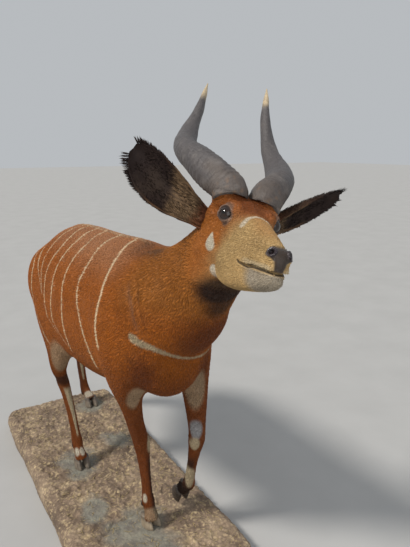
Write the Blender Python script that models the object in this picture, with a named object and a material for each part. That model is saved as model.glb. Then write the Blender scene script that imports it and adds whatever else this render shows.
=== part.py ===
"""Mounted bongo antelope, walking, on its low groundwork base.

Units are metres, +Z is up, the animal faces -Y and its left side is +X. The origin is
the middle of the base's underside. Flesh is lofted, fused and smoothed as one body,
then parted into head, neck, torso and legs by thin cuts.
"""
import math
import random

import bmesh
import bpy
from mathutils import Matrix, Vector, noise
from mathutils.bvhtree import BVHTree

GAP = 0.0003
MID = 0.02
BASE_TOP = 0.09
BASE_HALF = (0.300, 0.800)
BASE_CELLS = (10, 26)

VOXEL = 0.0052
BODY_TRIANGLES = 5600
KEEP_PULL = 0.013

# Head frame: x to the animal's left, y backward, z up, origin between the eyes.
HEAD_LEFT = Vector((0.9072, -0.3264, -0.2681))
HEAD_BACK = Vector((0.3140, 0.9458, -0.0915))
HEAD_ORIGIN = Vector((0.027, -1.027, 1.333))
EYE = Vector((0.0590, -0.002, 0.0095))
EYE_R = 0.0195
LID_R = 0.0226
EYE_LOOK = Vector((0.72, -0.68, 0.10))
EYE_OPENING = (0.0178, 0.0148)

# Trunk: y, top z, bottom z, half width, fullness of the section.
TRUNK = [
    (0.600, 0.985, 0.900, 0.035, 2.0),
    (0.580, 1.030, 0.820, 0.088, 2.0),
    (0.520, 1.078, 0.730, 0.142, 2.0),
    (0.420, 1.122, 0.665, 0.184, 2.0),
    (0.300, 1.166, 0.620, 0.210, 2.0),
    (0.150, 1.188, 0.594, 0.219, 2.1),
    (0.000, 1.190, 0.587, 0.221, 2.1),
    (-0.150, 1.194, 0.598, 0.217, 2.1),
    (-0.300, 1.200, 0.625, 0.204, 2.1),
    (-0.440, 1.208, 0.662, 0.186, 2.1),
    (-0.560, 1.190, 0.700, 0.168, 2.1),
    (-0.650, 1.110, 0.755, 0.150, 2.1),
    (-0.705, 1.020, 0.840, 0.105, 2.0),
]

# Neck: x, y, z of the centre, half width, half depth.
NECK = [
    (0.020, -0.440, 0.960, 0.180, 0.234),
    (0.028, -0.560, 1.003, 0.182, 0.205),
    (0.031, -0.680, 1.058, 0.156, 0.176),
    (0.026, -0.775, 1.128, 0.111, 0.140),
    (0.028, -0.850, 1.192, 0.096, 0.115),
    (0.037, -0.915, 1.250, 0.088, 0.100),
    (0.043, -0.965, 1.285, 0.076, 0.088),
]

# Face, in the head frame: y, top z, bottom z, half width above, half width below.
FACE = [
    (-0.261, -0.056, -0.080, 0.009, 0.010),
    (-0.253, -0.045, -0.090, 0.014, 0.018),
    (-0.238, -0.035, -0.096, 0.020, 0.027),
    (-0.208, -0.024, -0.099, 0.024, 0.033),
    (-0.160, -0.008, -0.103, 0.030, 0.039),
    (-0.110, 0.006, -0.110, 0.039, 0.046),
    (-0.060, 0.019, -0.118, 0.053, 0.051),
    (-0.015, 0.036, -0.125, 0.064, 0.053),
    (0.030, 0.056, -0.124, 0.069, 0.052),
    (0.075, 0.068, -0.115, 0.069, 0.050),
    (0.115, 0.056, -0.095, 0.063, 0.046),
    (0.145, 0.020, -0.060, 0.040, 0.034),
]

# Lower jaw, in the head frame: y, top z, bottom z, half width.
JAW = [
    (-0.249, -0.098, -0.108, 0.013),
    (-0.239, -0.092, -0.121, 0.025),
    (-0.208, -0.090, -0.132, 0.030),
    (-0.160, -0.088, -0.141, 0.031),
    (-0.100, -0.085, -0.150, 0.038),
    (-0.040, -0.080, -0.158, 0.044),
    (0.015, -0.070, -0.160, 0.049),
    (0.055, -0.060, -0.150, 0.042),
    (0.080, -0.060, -0.110, 0.026),
]

# Soft forms of the head: centre and radii in the head frame; x is mirrored.
HEAD_FORMS = [
    ((0.044, -0.003, 0.016), (0.029, 0.042, 0.030)),
    ((0.046, 0.070, 0.052), (0.044, 0.044, 0.036)),
    ((0.060, 0.098, 0.004), (0.030, 0.036, 0.034)),
    ((0.030, -0.006, -0.080), (0.030, 0.062, 0.052)),
    ((0.036, 0.060, -0.060), (0.040, 0.050, 0.060)),
    ((0.0165, -0.237, -0.056), (0.0120, 0.019, 0.019)),
    ((0.018, -0.206, -0.080), (0.017, 0.045, 0.014)),
]

# Legs: x, y, z of the centre, half width, half depth.
LEGS = {
    "fore_right": [
        (-0.112, -0.500, 0.900, 0.062, 0.120),
        (-0.108, -0.500, 0.800, 0.062, 0.098),
        (-0.090, -0.487, 0.720, 0.056, 0.076),
        (-0.064, -0.468, 0.640, 0.046, 0.056),
        (-0.040, -0.448, 0.545, 0.034, 0.040),
        (-0.018, -0.434, 0.470, 0.0300, 0.0330),
        (-0.008, -0.430, 0.430, 0.0310, 0.0330),
        (-0.004, -0.430, 0.385, 0.0250, 0.0280),
        (-0.001, -0.438, 0.310, 0.0200, 0.0235),
        (0.001, -0.446, 0.235, 0.0195, 0.0240),
        (0.002, -0.449, 0.200, 0.0250, 0.0290),
        (0.003, -0.462, 0.168, 0.0215, 0.0235),
        (0.004, -0.470, 0.142, 0.0270, 0.0290),
        (0.005, -0.473, 0.130, 0.0280, 0.0310),
    ],
    "fore_left": [
        (0.150, -0.520, 0.900, 0.062, 0.120),
        (0.150, -0.540, 0.800, 0.060, 0.098),
        (0.142, -0.560, 0.730, 0.054, 0.074),
        (0.142, -0.572, 0.650, 0.048, 0.056),
        (0.145, -0.575, 0.560, 0.037, 0.041),
        (0.148, -0.573, 0.510, 0.0310, 0.0330),
        (0.149, -0.567, 0.475, 0.0310, 0.0330),
        (0.151, -0.552, 0.430, 0.0245, 0.0270),
        (0.153, -0.527, 0.350, 0.0180, 0.0215),
        (0.157, -0.502, 0.275, 0.0190, 0.0230),
        (0.159, -0.490, 0.240, 0.0245, 0.0275),
        (0.161, -0.463, 0.208, 0.0210, 0.0230),
        (0.163, -0.438, 0.188, 0.0265, 0.0285),
        (0.164, -0.430, 0.182, 0.0275, 0.0300),
    ],
    "hind_right": [
        (-0.105, 0.330, 0.960, 0.080, 0.170),
        (-0.125, 0.240, 0.840, 0.082, 0.165),
        (-0.136, 0.160, 0.730, 0.070, 0.130),
        (-0.143, 0.135, 0.640, 0.052, 0.088),
        (-0.146, 0.155, 0.560, 0.037, 0.057),
        (-0.128, 0.187, 0.500, 0.0270, 0.0430),
        (-0.117, 0.200, 0.455, 0.0270, 0.0410),
        (-0.110, 0.183, 0.410, 0.0230, 0.0310),
        (-0.103, 0.145, 0.320, 0.0200, 0.0250),
        (-0.101, 0.110, 0.240, 0.0200, 0.0250),
        (-0.100, 0.095, 0.203, 0.0250, 0.0290),
        (-0.101, 0.072, 0.170, 0.0215, 0.0235),
        (-0.098, 0.056, 0.142, 0.0270, 0.0290),
        (-0.097, 0.052, 0.130, 0.0280, 0.0310),
    ],
    "hind_left": [
        (0.145, 0.380, 0.960, 0.080, 0.170),
        (0.162, 0.370, 0.840, 0.078, 0.160),
        (0.170, 0.400, 0.740, 0.068, 0.130),
        (0.165, 0.460, 0.650, 0.051, 0.088),
        (0.148, 0.545, 0.560, 0.036, 0.057),
        (0.126, 0.618, 0.485, 0.0285, 0.0440),
        (0.113, 0.652, 0.440, 0.0290, 0.0410),
        (0.111, 0.660, 0.395, 0.0245, 0.0320),
        (0.114, 0.662, 0.300, 0.0215, 0.0265),
        (0.122, 0.660, 0.205, 0.0215, 0.0260),
        (0.126, 0.655, 0.168, 0.0255, 0.0290),
        (0.131, 0.628, 0.145, 0.0220, 0.0240),
        (0.134, 0.602, 0.130, 0.0270, 0.0290),
        (0.135, 0.596, 0.124, 0.0280, 0.0310),
    ],
}
# Hooves: middle of the ground face, direction of the toe, downward direction.
HOOVES = {
    "fore_right": ((0.011, -0.455, BASE_TOP + GAP), (0.22, -1.0, 0.0), (0.0, 0.0, -1.0)),
    "fore_left": ((0.166, -0.402, 0.140), (0.02, -0.50, -0.87), (0.03, 0.87, -0.50)),
    "hind_right": ((-0.095, 0.050, BASE_TOP + GAP), (0.0, -1.0, 0.0), (0.0, 0.0, -1.0)),
    "hind_left": ((0.137, 0.585, BASE_TOP + GAP), (0.0, -1.0, 0.0), (0.0, 0.0, -1.0)),
}
HOOF_LENGTH = 0.068
HOOF_HALF_WIDTH = 0.0165
HOOF_HEIGHT = 0.046
CLEFT = 0.0030

# Soft forms of the trunk: centre and radii.
TRUNK_FORMS = [
    ((-0.102, -0.470, 0.930), (0.086, 0.130, 0.180)),
    ((0.142, -0.480, 0.930), (0.086, 0.130, 0.180)),
    ((0.022, -0.640, 0.950), (0.120, 0.100, 0.130)),
    ((-0.092, 0.330, 0.900), (0.114, 0.205, 0.178)),
    ((0.132, 0.345, 0.900), (0.114, 0.205, 0.178)),
    ((-0.120, 0.170, 0.800), (0.085, 0.150, 0.170)),
    ((0.158, 0.300, 0.820), (0.085, 0.160, 0.170)),
    ((0.020, -0.600, 0.835), (0.125, 0.105, 0.140)),
    ((0.020, 0.545, 1.000), (0.050, 0.050, 0.055)),
]

# Thin cuts that part the body: middle, normal, half sizes across and along.
CUTS = [
    ((0.034, -0.905, 1.243), (0.12, -0.74, 0.66), 0.16, 0.17),
    ((0.020, -0.625, 1.035), (0.0, -0.86, 0.51), 0.26, 0.34),
    ((-0.118, -0.470, 0.640), (0.0, 0.0, 1.0), 0.130, 0.14),
    ((0.170, -0.560, 0.640), (0.0, 0.0, 1.0), 0.120, 0.13),
    ((-0.165, 0.150, 0.572), (0.0, 0.0, 1.0), 0.140, 0.17),
    ((0.190, 0.500, 0.600), (0.0, 0.0, 1.0), 0.140, 0.16),
]

# Where the middle of each parted piece lies.
PIECES = {
    "head": (0.01, -1.09, 1.29),
    "neck": (0.02, -0.78, 1.14),
    "torso": (0.02, -0.05, 0.93),
    "leg_fore_right": (-0.03, -0.44, 0.40),
    "leg_fore_left": (0.15, -0.53, 0.43),
    "leg_hind_right": (-0.12, 0.15, 0.38),
    "leg_hind_left": (0.13, 0.62, 0.40),
}

# Horn centreline in the head frame, from root to tip, for the left horn.
HORN_LINE = [
    (0.043, 0.055, 0.050),
    (0.052, 0.070, 0.078),
    (0.112, 0.166, 0.128),
    (0.143, 0.275, 0.172),
    (0.130, 0.371, 0.235),
    (0.106, 0.433, 0.330),
    (0.093, 0.482, 0.435),
]
# Distance along the line, as a share of its length, and radius of the horn there.
HORN_RADIUS = [(0.0, 0.040), (0.06, 0.0405), (0.2, 0.041), (0.4, 0.036), (0.6, 0.027),
               (0.8, 0.0170), (0.92, 0.0095), (1.0, 0.0016)]
HORN_RINGS = 22
HORN_SIDES = 12
HORN_TURN = math.radians(300)
# The pair is a little uneven: the right horn leans back and the left one forward.
HORN_LEAN = Vector((0.047, 0.062, 0.044))

# Ears in the head frame: direction of the ear and the way its cup opens.
EAR_ROOT = {1: Vector((0.068, 0.104, -0.026)), -1: Vector((-0.068, 0.104, -0.019))}
EAR_AIM = {1: Vector((0.765, 0.200, 0.610)), -1: Vector((-0.828, 0.329, 0.455))}
EAR_FACE = {1: Vector((0.60, -0.55, -0.58)), -1: Vector((-0.31, -0.90, 0.10))}
EAR_LENGTH = 0.278
# Share of the length, half width, and half angle of the cup's arc in degrees.
EAR_SHAPE = [(0.0, 0.0240, 84), (0.12, 0.0300, 84), (0.25, 0.0400, 76), (0.42, 0.0540, 62),
             (0.58, 0.0610, 52), (0.74, 0.0600, 44), (0.86, 0.0500, 38), (0.95, 0.0340, 34),
             (1.0, 0.0150, 30)]
EAR_THICK = 0.0034
EAR_RINGS = 10
EAR_ACROSS = 6
EAR_LOCKS = 14

TAIL_LINE = [
    (0.020, 0.540, 1.020, 0.024, 0.024),
    (0.020, 0.596, 1.022, 0.023, 0.022),
    (0.021, 0.628, 0.985, 0.019, 0.017),
    (0.024, 0.643, 0.915, 0.014, 0.012),
    (0.027, 0.648, 0.840, 0.012, 0.010),
    (0.030, 0.645, 0.740, 0.012, 0.010),
    (0.033, 0.635, 0.650, 0.011, 0.009),
    (0.034, 0.630, 0.610, 0.006, 0.005),
]
TAIL_LOCKS = 15
TAIL_LOCK_LENGTH = 0.150

MOUTH_CORNER_Y = -0.148
MOUTH_Z = (-0.086, -0.0935)
MOUTH_STEPS = 17

def clear_file():
    for item in list(bpy.data.objects):
        bpy.data.objects.remove(item, do_unlink=True)


def add_mesh(name, verts, faces):
    mesh = bpy.data.meshes.new(name)
    mesh.from_pydata([tuple(v) for v in verts], [], faces)
    mesh.validate()
    shape = bmesh.new()
    shape.from_mesh(mesh)
    bmesh.ops.recalc_face_normals(shape, faces=shape.faces)
    shape.to_mesh(mesh)
    shape.free()
    item = bpy.data.objects.new(name, mesh)
    bpy.context.scene.collection.objects.link(item)
    return item


def spline(stations, count):
    """Catmull-Rom points through the stations, evenly spread along them."""
    rows = [Vector(row) for row in stations]
    spans = [max((b - a).length, 1e-6) for a, b in zip(rows, rows[1:])]
    reach = [0.0]
    for span in spans:
        reach.append(reach[-1] + span)
    result = []
    for step in range(count):
        place = reach[-1] * step / (count - 1)
        i = 0
        while i < len(spans) - 1 and reach[i + 1] < place:
            i += 1
        t = (place - reach[i]) / spans[i]
        before = rows[i - 1] if i else rows[i] * 2 - rows[i + 1]
        after = rows[i + 2] if i + 2 < len(rows) else rows[i + 1] * 2 - rows[i]
        a, b = rows[i], rows[i + 1]
        result.append(0.5 * (2 * a + (b - before) * t + (2 * before - 5 * a + 4 * b - after) * t * t
                             + (3 * a - before - 3 * b + after) * t * t * t))
    return result


def ramp(table, t):
    for (a, x), (b, y) in zip(table, table[1:]):
        if t <= b:
            share = (t - a) / (b - a)
            share = share * share * (3 - 2 * share) * 0.5 + share * 0.5
            return x + (y - x) * share
    return table[-1][1]


def stack(name, rings):
    """Closed body through rings of equal count, with a fan at each end."""
    count = len(rings[0])
    verts = [v for ring in rings for v in ring]
    faces = []
    for i in range(len(rings) - 1):
        for j in range(count):
            k = (j + 1) % count
            a, b = i * count, (i + 1) * count
            faces.append((a + j, a + k, b + k, b + j))
    for ring, base in ((rings[0], 0), (rings[-1], (len(rings) - 1) * count)):
        middle = sum((Vector(v) for v in ring), Vector()) / count
        verts.append(middle)
        for j in range(count):
            faces.append((base + j, base + (j + 1) % count, len(verts) - 1))
    return add_mesh(name, verts, faces)


def power(value, exponent):
    return math.copysign(abs(value) ** exponent, value)


def trunk_body():
    rings = []
    for y, top, bottom, half, full in spline(TRUNK, 40):
        ring = []
        for j in range(28):
            turn = math.tau * j / 28
            side = power(math.cos(turn), 2 / full)
            rise = power(math.sin(turn), 2 / full)
            # The widest level lies below the middle, so the back is narrower than the belly.
            narrow = 1 - 0.16 * max(0.0, rise) ** 2
            ring.append((MID + half * side * narrow, y, (top + bottom) / 2 + (top - bottom) / 2 * rise))
        rings.append(ring)
    return stack("trunk", rings)


def tube(name, stations, count, sides=20):
    """Body round a centreline whose stations give half width and half depth."""
    rows = spline(stations, count)
    rings = []
    for i, row in enumerate(rows):
        place = Vector(row[:3])
        ahead = Vector(rows[min(i + 1, count - 1)][:3]) - Vector(rows[max(i - 1, 0)][:3])
        ahead.normalize()
        across = Vector((1, 0, 0))
        across = (across - ahead * across.dot(ahead)).normalized()
        deep = ahead.cross(across)
        rings.append([place + across * row[3] * math.cos(math.tau * j / sides)
                      + deep * row[4] * math.sin(math.tau * j / sides) for j in range(sides)])
    return stack(name, rings)


def head_matrix():
    up = HEAD_LEFT.cross(HEAD_BACK).normalized()
    left = HEAD_BACK.cross(up).normalized()
    turn = Matrix((left, HEAD_BACK.normalized(), up)).transposed()
    return Matrix.Translation(HEAD_ORIGIN) @ turn.to_4x4()


HEAD = head_matrix()


def head_rings(rows, exponent):
    rings = []
    for y, top, bottom, upper, lower in rows:
        ring = []
        for j in range(24):
            turn = math.tau * j / 24
            rise = power(math.sin(turn), 2 / exponent)
            half = lower + (upper - lower) * (rise + 1) / 2
            x = half * power(math.cos(turn), 2 / exponent)
            ring.append(HEAD @ Vector((x, y, (top + bottom) / 2 + (top - bottom) / 2 * rise)))
        rings.append(ring)
    return rings


def ball(name, centre, radii, matrix=Matrix.Identity(4), rings=12, sides=20):
    verts = []
    for i in range(1, rings):
        tilt = math.pi * i / rings
        for j in range(sides):
            turn = math.tau * j / sides
            spot = Vector((math.sin(tilt) * math.cos(turn), math.sin(tilt) * math.sin(turn), math.cos(tilt)))
            verts.append(matrix @ (Vector(centre) + Vector(a * b for a, b in zip(spot, radii))))
    rows = [verts[i * sides:(i + 1) * sides] for i in range(rings - 1)]
    top = matrix @ (Vector(centre) + Vector((0, 0, radii[2])))
    low = matrix @ (Vector(centre) - Vector((0, 0, radii[2])))
    faces = []
    for i in range(len(rows) - 1):
        for j in range(sides):
            k = (j + 1) % sides
            faces.append((i * sides + j, i * sides + k, (i + 1) * sides + k, (i + 1) * sides + j))
    verts += [top, low]
    last = (rings - 2) * sides
    for j in range(sides):
        k = (j + 1) % sides
        faces.append((j, k, len(verts) - 2))
        faces.append((last + j, last + k, len(verts) - 1))
    return add_mesh(name, verts, faces)


def mirrored(forms):
    for (x, y, z), radii in forms:
        for side in (1, -1):
            yield (x * side, y, z), radii


def join(items, name):
    """Joins the meshes' data without fusing them."""
    shape = bmesh.new()
    for item in items:
        copy = item.data.copy()
        copy.transform(item.matrix_world)
        shape.from_mesh(copy)
        bpy.data.meshes.remove(copy)
    mesh = bpy.data.meshes.new(name)
    shape.to_mesh(mesh)
    shape.free()
    for item in items:
        bpy.data.objects.remove(item, do_unlink=True)
    result = bpy.data.objects.new(name, mesh)
    bpy.context.scene.collection.objects.link(result)
    return result


def applied(item):
    """Bakes the modifiers into the mesh."""
    graph = bpy.context.evaluated_depsgraph_get()
    mesh = bpy.data.meshes.new_from_object(item.evaluated_get(graph))
    item.modifiers.clear()
    old = item.data
    item.data = mesh
    bpy.data.meshes.remove(old)
    mesh.name = item.name
    return item


def triangles(mesh):
    mesh.calc_loop_triangles()
    return len(mesh.loop_triangles)


def largest(item):
    """Keeps the largest closed surface of the mesh."""
    shape = bmesh.new()
    shape.from_mesh(item.data)
    groups = islands(shape)
    groups.sort(key=lambda faces: -abs(volume_of(faces)))
    for faces in groups[1:]:
        verts = {v for face in faces for v in face.verts}
        bmesh.ops.delete(shape, geom=list(verts), context="VERTS")
    bmesh.ops.triangulate(shape, faces=shape.faces)
    shape.to_mesh(item.data)
    shape.free()
    return item


def islands(shape):
    shape.faces.ensure_lookup_table()
    seen = set()
    groups = []
    for face in shape.faces:
        if face.index in seen:
            continue
        seen.add(face.index)
        queue = [face]
        group = []
        while queue:
            here = queue.pop()
            group.append(here)
            for edge in here.edges:
                for other in edge.link_faces:
                    if other.index not in seen:
                        seen.add(other.index)
                        queue.append(other)
        groups.append(group)
    return groups


def volume_of(faces):
    total = 0.0
    for face in faces:
        first = face.verts[0].co
        for a, b in zip(face.verts[1:], face.verts[2:]):
            total += first.dot(a.co.cross(b.co)) / 6
    return total


def carve(item, cutter, operation="DIFFERENCE", solver="MANIFOLD"):
    step = item.modifiers.new("carve", "BOOLEAN")
    step.operation = operation
    step.solver = solver
    step.object = cutter
    applied(item)
    bpy.data.objects.remove(cutter, do_unlink=True)
    return item


def fuse(item, pieces, solver="MANIFOLD"):
    """One union of the item with a collection of closed pieces."""
    group = bpy.data.collections.new("pieces")
    bpy.context.scene.collection.children.link(group)
    for piece in pieces:
        bpy.context.scene.collection.objects.unlink(piece)
        group.objects.link(piece)
    step = item.modifiers.new("fuse", "BOOLEAN")
    step.operation = "UNION"
    step.solver = solver
    step.operand_type = "COLLECTION"
    step.collection = group
    applied(item)
    for piece in list(group.objects):
        bpy.data.objects.remove(piece, do_unlink=True)
    bpy.data.collections.remove(group)
    return largest(item)


def plate(centre, normal, across, along):
    """Thin box whose faces lie half a gap to each side of the centre."""
    normal = Vector(normal).normalized()
    side = Vector((1, 0, 0))
    side = (side - normal * side.dot(normal)).normalized()
    depth = normal.cross(side)
    verts = []
    for a in (-1, 1):
        for b in (-1, 1):
            for c in (-1, 1):
                verts.append(Vector(centre) + side * across * a + depth * along * b + normal * GAP / 2 * c)
    faces = [(0, 1, 3, 2), (4, 5, 7, 6), (0, 1, 5, 4), (2, 3, 7, 6), (0, 2, 6, 4), (1, 3, 7, 5)]
    return add_mesh("plate", verts, faces)


def swollen(item, amount):
    """Copy of the mesh, moved outward by the amount."""
    mesh = item.data.copy()
    shape = bmesh.new()
    shape.from_mesh(mesh)
    shape.normal_update()
    moves = [v.normal * amount * v.calc_shell_factor() for v in shape.verts]
    for v, move in zip(shape.verts, moves):
        v.co += move
    shape.to_mesh(mesh)
    shape.free()
    result = bpy.data.objects.new("swollen", mesh)
    bpy.context.scene.collection.objects.link(result)
    return result


def flesh():
    """Whole body as one smooth closed mesh."""
    pieces = [trunk_body(), tube("neck_form", NECK, 26, 24)]
    pieces.append(stack("face_form", head_rings(spline(FACE, 34), 2.3)))
    jaw = [(y, top, bottom, half, half) for y, top, bottom, half in JAW]
    pieces.append(stack("jaw_form", head_rings(spline(jaw, 26), 2.2)))
    for centre, radii in mirrored(HEAD_FORMS):
        pieces.append(ball("form", centre, radii, HEAD))
    for centre, radii in TRUNK_FORMS:
        pieces.append(ball("form", centre, radii))
    for name, stations in LEGS.items():
        pieces.append(tube(name, stations, 44))
    body = join(pieces, "flesh")
    step = body.modifiers.new("remesh", "REMESH")
    step.mode = "VOXEL"
    step.voxel_size = VOXEL
    step.adaptivity = 0.0
    applied(body)
    soften(body)
    weights(body)
    thin = body.modifiers.new("thin", "DECIMATE")
    thin.ratio = BODY_TRIANGLES / triangles(body.data)
    thin.vertex_group = "keep"
    thin.invert_vertex_group = True
    thin.vertex_group_factor = KEEP_PULL
    applied(body)
    return largest(body)


def soften(body):
    """Evens the joins of the forms, more on the trunk than on head and feet."""
    group = body.vertex_groups.new(name="soft")
    for v in body.data.vertices:
        group.add([v.index], trunk_share(v.co), "REPLACE")
    step = body.modifiers.new("even", "SMOOTH")
    step.factor = 0.5
    step.iterations = 13
    wide = body.modifiers.new("wide", "SMOOTH")
    wide.factor = 0.9
    wide.iterations = 190
    wide.vertex_group = "soft"
    applied(body)


def trunk_share(spot):
    """1 on the trunk and falling to 0 on head, feet and lower legs."""
    ahead = min(1.0, max(0.0, (spot.y + 0.93) / 0.18))
    low = min(1.0, max(0.0, (spot.z - 0.50) / 0.16))
    return ahead * low


def weights(body):
    group = body.vertex_groups.new(name="keep")
    for v in body.data.vertices:
        head = 0.9 * min(1.0, max(0.0, (-0.90 - v.co.y) / 0.06))
        foot = 0.32 * min(1.0, max(0.0, (0.62 - v.co.z) / 0.10))
        group.add([v.index], max(head, foot), "REPLACE")


def part_body(body):
    """Parts the body with the thin cuts and names the pieces."""
    for centre, normal, across, along in CUTS:
        carve(body, plate(centre, normal, across, along))
    shape = bmesh.new()
    shape.from_mesh(body.data)
    found = {}
    for faces in islands(shape):
        size = abs(volume_of(faces))
        if size < 1e-5:
            continue
        middle = sum((f.calc_center_median() * f.calc_area() for f in faces), Vector())
        middle /= sum(f.calc_area() for f in faces)
        name = min(PIECES, key=lambda key: (Vector(PIECES[key]) - middle).length)
        if name in found and found[name][0] > size:
            continue
        index = {}
        verts = []
        polys = []
        for face in faces:
            loop = []
            for v in face.verts:
                if v.index not in index:
                    index[v.index] = len(verts)
                    verts.append(v.co.copy())
                loop.append(index[v.index])
            polys.append(loop)
        found[name] = (size, verts, polys)
    shape.free()
    bpy.data.objects.remove(body, do_unlink=True)
    result = {}
    for name in PIECES:
        result[name] = largest(add_mesh(name, found[name][1], found[name][2]))
    return result


def horn(side):
    root = Vector(HORN_LINE[1])
    lean = Matrix.Rotation(HORN_LEAN.length, 4, HORN_LEAN * side)
    line = []
    for point in HORN_LINE:
        spot = lean @ (Vector(point) - root) + root
        spot.x *= side
        line.append(HEAD @ spot)
    rows = spline(line, HORN_RINGS)
    rings = []
    across = (HEAD.to_3x3() @ Vector((side, 0, 0))).normalized()
    for i, place in enumerate(rows):
        t = i / (HORN_RINGS - 1)
        ahead = (rows[min(i + 1, HORN_RINGS - 1)] - rows[max(i - 1, 0)]).normalized()
        across = (across - ahead * across.dot(ahead)).normalized()
        up = ahead.cross(across)
        radius = ramp(HORN_RADIUS, t)
        ring = []
        for j in range(HORN_SIDES):
            turn = math.tau * j / HORN_SIDES
            keel = turn - side * HORN_TURN * t
            swell = 1 + 0.11 * max(0.0, math.cos(keel)) ** 3 + 0.05 * math.cos(2 * keel)
            swell += 0.012 * math.sin(38 * t) * max(0.0, 1 - 2.4 * t)
            ring.append(place + (across * math.cos(turn) + up * math.sin(turn)) * radius * swell)
        rings.append(ring)
    return stack(named("horn", side), rings)


def named(kind, side):
    return kind + ("_left" if side == 1 else "_right")


def lock(root, aim, drop, length, width, thick, flat):
    """Flat tapered lock of hair that bends from its aim towards the drop."""
    aim = Vector(aim).normalized()
    rings = []
    place = Vector(root)
    steps = (0.0, 0.38, 0.74)
    for i, t in enumerate(steps):
        ahead = (aim + Vector(drop) * t).normalized()
        side = ahead.cross(Vector(flat)).normalized()
        up = side.cross(ahead)
        share = (1.0, 0.86, 0.52)[i]
        rings.append([place + side * width * share, place + up * thick * share,
                      place - side * width * share, place - up * thick * share])
        place = place + ahead * length * 0.37
    verts = [v for ring in rings for v in ring] + [place]
    faces = [(0, 1, 2, 3)]
    for i in range(2):
        for j in range(4):
            k = (j + 1) % 4
            faces.append((i * 4 + j, i * 4 + k, i * 4 + 4 + k))
            faces.append((i * 4 + j, i * 4 + 4 + k, i * 4 + 4 + j))
    for j in range(4):
        faces.append((8 + j, 8 + (j + 1) % 4, 12))
    return add_mesh("lock", verts, faces)


def ear_frame(side):
    aim = EAR_AIM[side].normalized()
    face = EAR_FACE[side]
    face = (face - aim * face.dot(aim)).normalized()
    across = aim.cross(face) * side
    return aim, face, across


def ear_spot(side, t, u, out):
    """Point of the ear: t along it, u across it, out behind its inner face."""
    aim, face, across = ear_frame(side)
    half = ramp([(a, b) for a, b, c in EAR_SHAPE], t)
    arc = math.radians(ramp([(a, c) for a, b, c in EAR_SHAPE], t))
    radius = half / math.sin(arc)
    turn = u * arc
    spot = EAR_ROOT[side] + aim * EAR_LENGTH * t
    # The lower edge bows out low down and the upper one near the tip, which turns a little forward.
    narrow = 0.86 if u < 0 else 1.0
    bow = 0.008 * math.sin(math.pi * t) - 0.014 * t ** 3
    spot += across * ((radius + out) * math.sin(turn) * narrow + bow)
    spot -= face * ((radius + out) * math.cos(turn) - radius * math.cos(arc))
    spot += face * 0.014 * t * t
    return HEAD @ spot


def ear(side):
    rings = []
    for i in range(EAR_RINGS):
        t = i / (EAR_RINGS - 1)
        ring = []
        for j in range(EAR_ACROSS):
            ring.append(ear_spot(side, t, -1 + 2 * j / (EAR_ACROSS - 1), 0.0))
        for j in range(EAR_ACROSS):
            ring.append(ear_spot(side, t, 1 - 2 * j / (EAR_ACROSS - 1), EAR_THICK))
        rings.append(ring)
    item = stack(named("ear", side), rings)
    aim, face, across = (HEAD.to_3x3() @ v for v in ear_frame(side))
    rng = random.Random(7 + side)
    pieces = []
    for i in range(EAR_LOCKS):
        # From the middle of the lower edge, round the tip, to the end of the upper edge.
        share = i / (EAR_LOCKS - 1)
        t = 0.45 + 0.52 * min(share, 0.62) / 0.62 if share < 0.62 else 0.97 - 0.42 * (share - 0.62)
        u = 0.94 if share < 0.62 else -0.94
        root = ear_spot(side, t, u, EAR_THICK / 2)
        edge = across * (0.75 if share < 0.62 else -0.35)
        length = (0.013 + 0.016 * t * t) * rng.uniform(0.85, 1.15)
        pieces.append(lock(root - (aim + edge).normalized() * 0.003, aim + edge, aim * 0.5,
                           length, 0.0080, 0.0011, face))
    return fuse(item, pieces)


def tail():
    item = tube("tail", TAIL_LINE, 14, 8)
    rng = random.Random(11)
    rows = spline(TAIL_LINE, 40)
    pieces = []
    for i in range(TAIL_LOCKS):
        row = rows[39 - int(15 * (i / (TAIL_LOCKS - 1)) ** 1.2)]
        turn = i * 2.4
        out = Vector((math.cos(turn), math.sin(turn), 0))
        root = Vector(row[:3]) + out * row[3] * 0.35
        aim = Vector((0, 0, -1)) + out * rng.uniform(0.16, 0.26)
        length = TAIL_LOCK_LENGTH * rng.uniform(0.72, 1.0)
        pieces.append(lock(root, aim, -out * 0.16, length, 0.0085, 0.0030, out))
    return fuse(item, pieces)


def hoof(name):
    """The two claws of one foot."""
    centre, toe, down = (Vector(v) for v in HOOVES[name])
    down.normalize()
    toe = (toe - down * toe.dot(down)).normalized()
    side = down.cross(toe)
    claws = []
    for hand in (1, -1):
        middle = centre + side * hand * (HOOF_HALF_WIDTH + CLEFT / 2)
        rings = []
        for share, size, back in ((0.0, 0.97, 0.0), (0.12, 1.0, 0.001), (0.5, 0.88, 0.007),
                                  (0.85, 0.74, 0.013), (1.0, 0.66, 0.015)):
            ring = []
            for j in range(10):
                turn = math.tau * j / 10
                along = math.cos(turn) * HOOF_LENGTH / 2 * size
                wide = math.sin(turn) * HOOF_HALF_WIDTH * (1 - 0.42 * max(0.0, math.cos(turn)) ** 2)
                if wide * hand < 0:
                    wide = max(abs(wide) * 0.9, 0.0) * -hand
                wide = wide * (1 - 0.12 * share)
                ring.append(middle + toe * (along - back) + side * wide - down * HOOF_HEIGHT * share)
            rings.append(ring)
        claws.append(stack("hoof_" + name + ("_inner" if hand == 1 else "_outer"), rings))
    return claws


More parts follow.
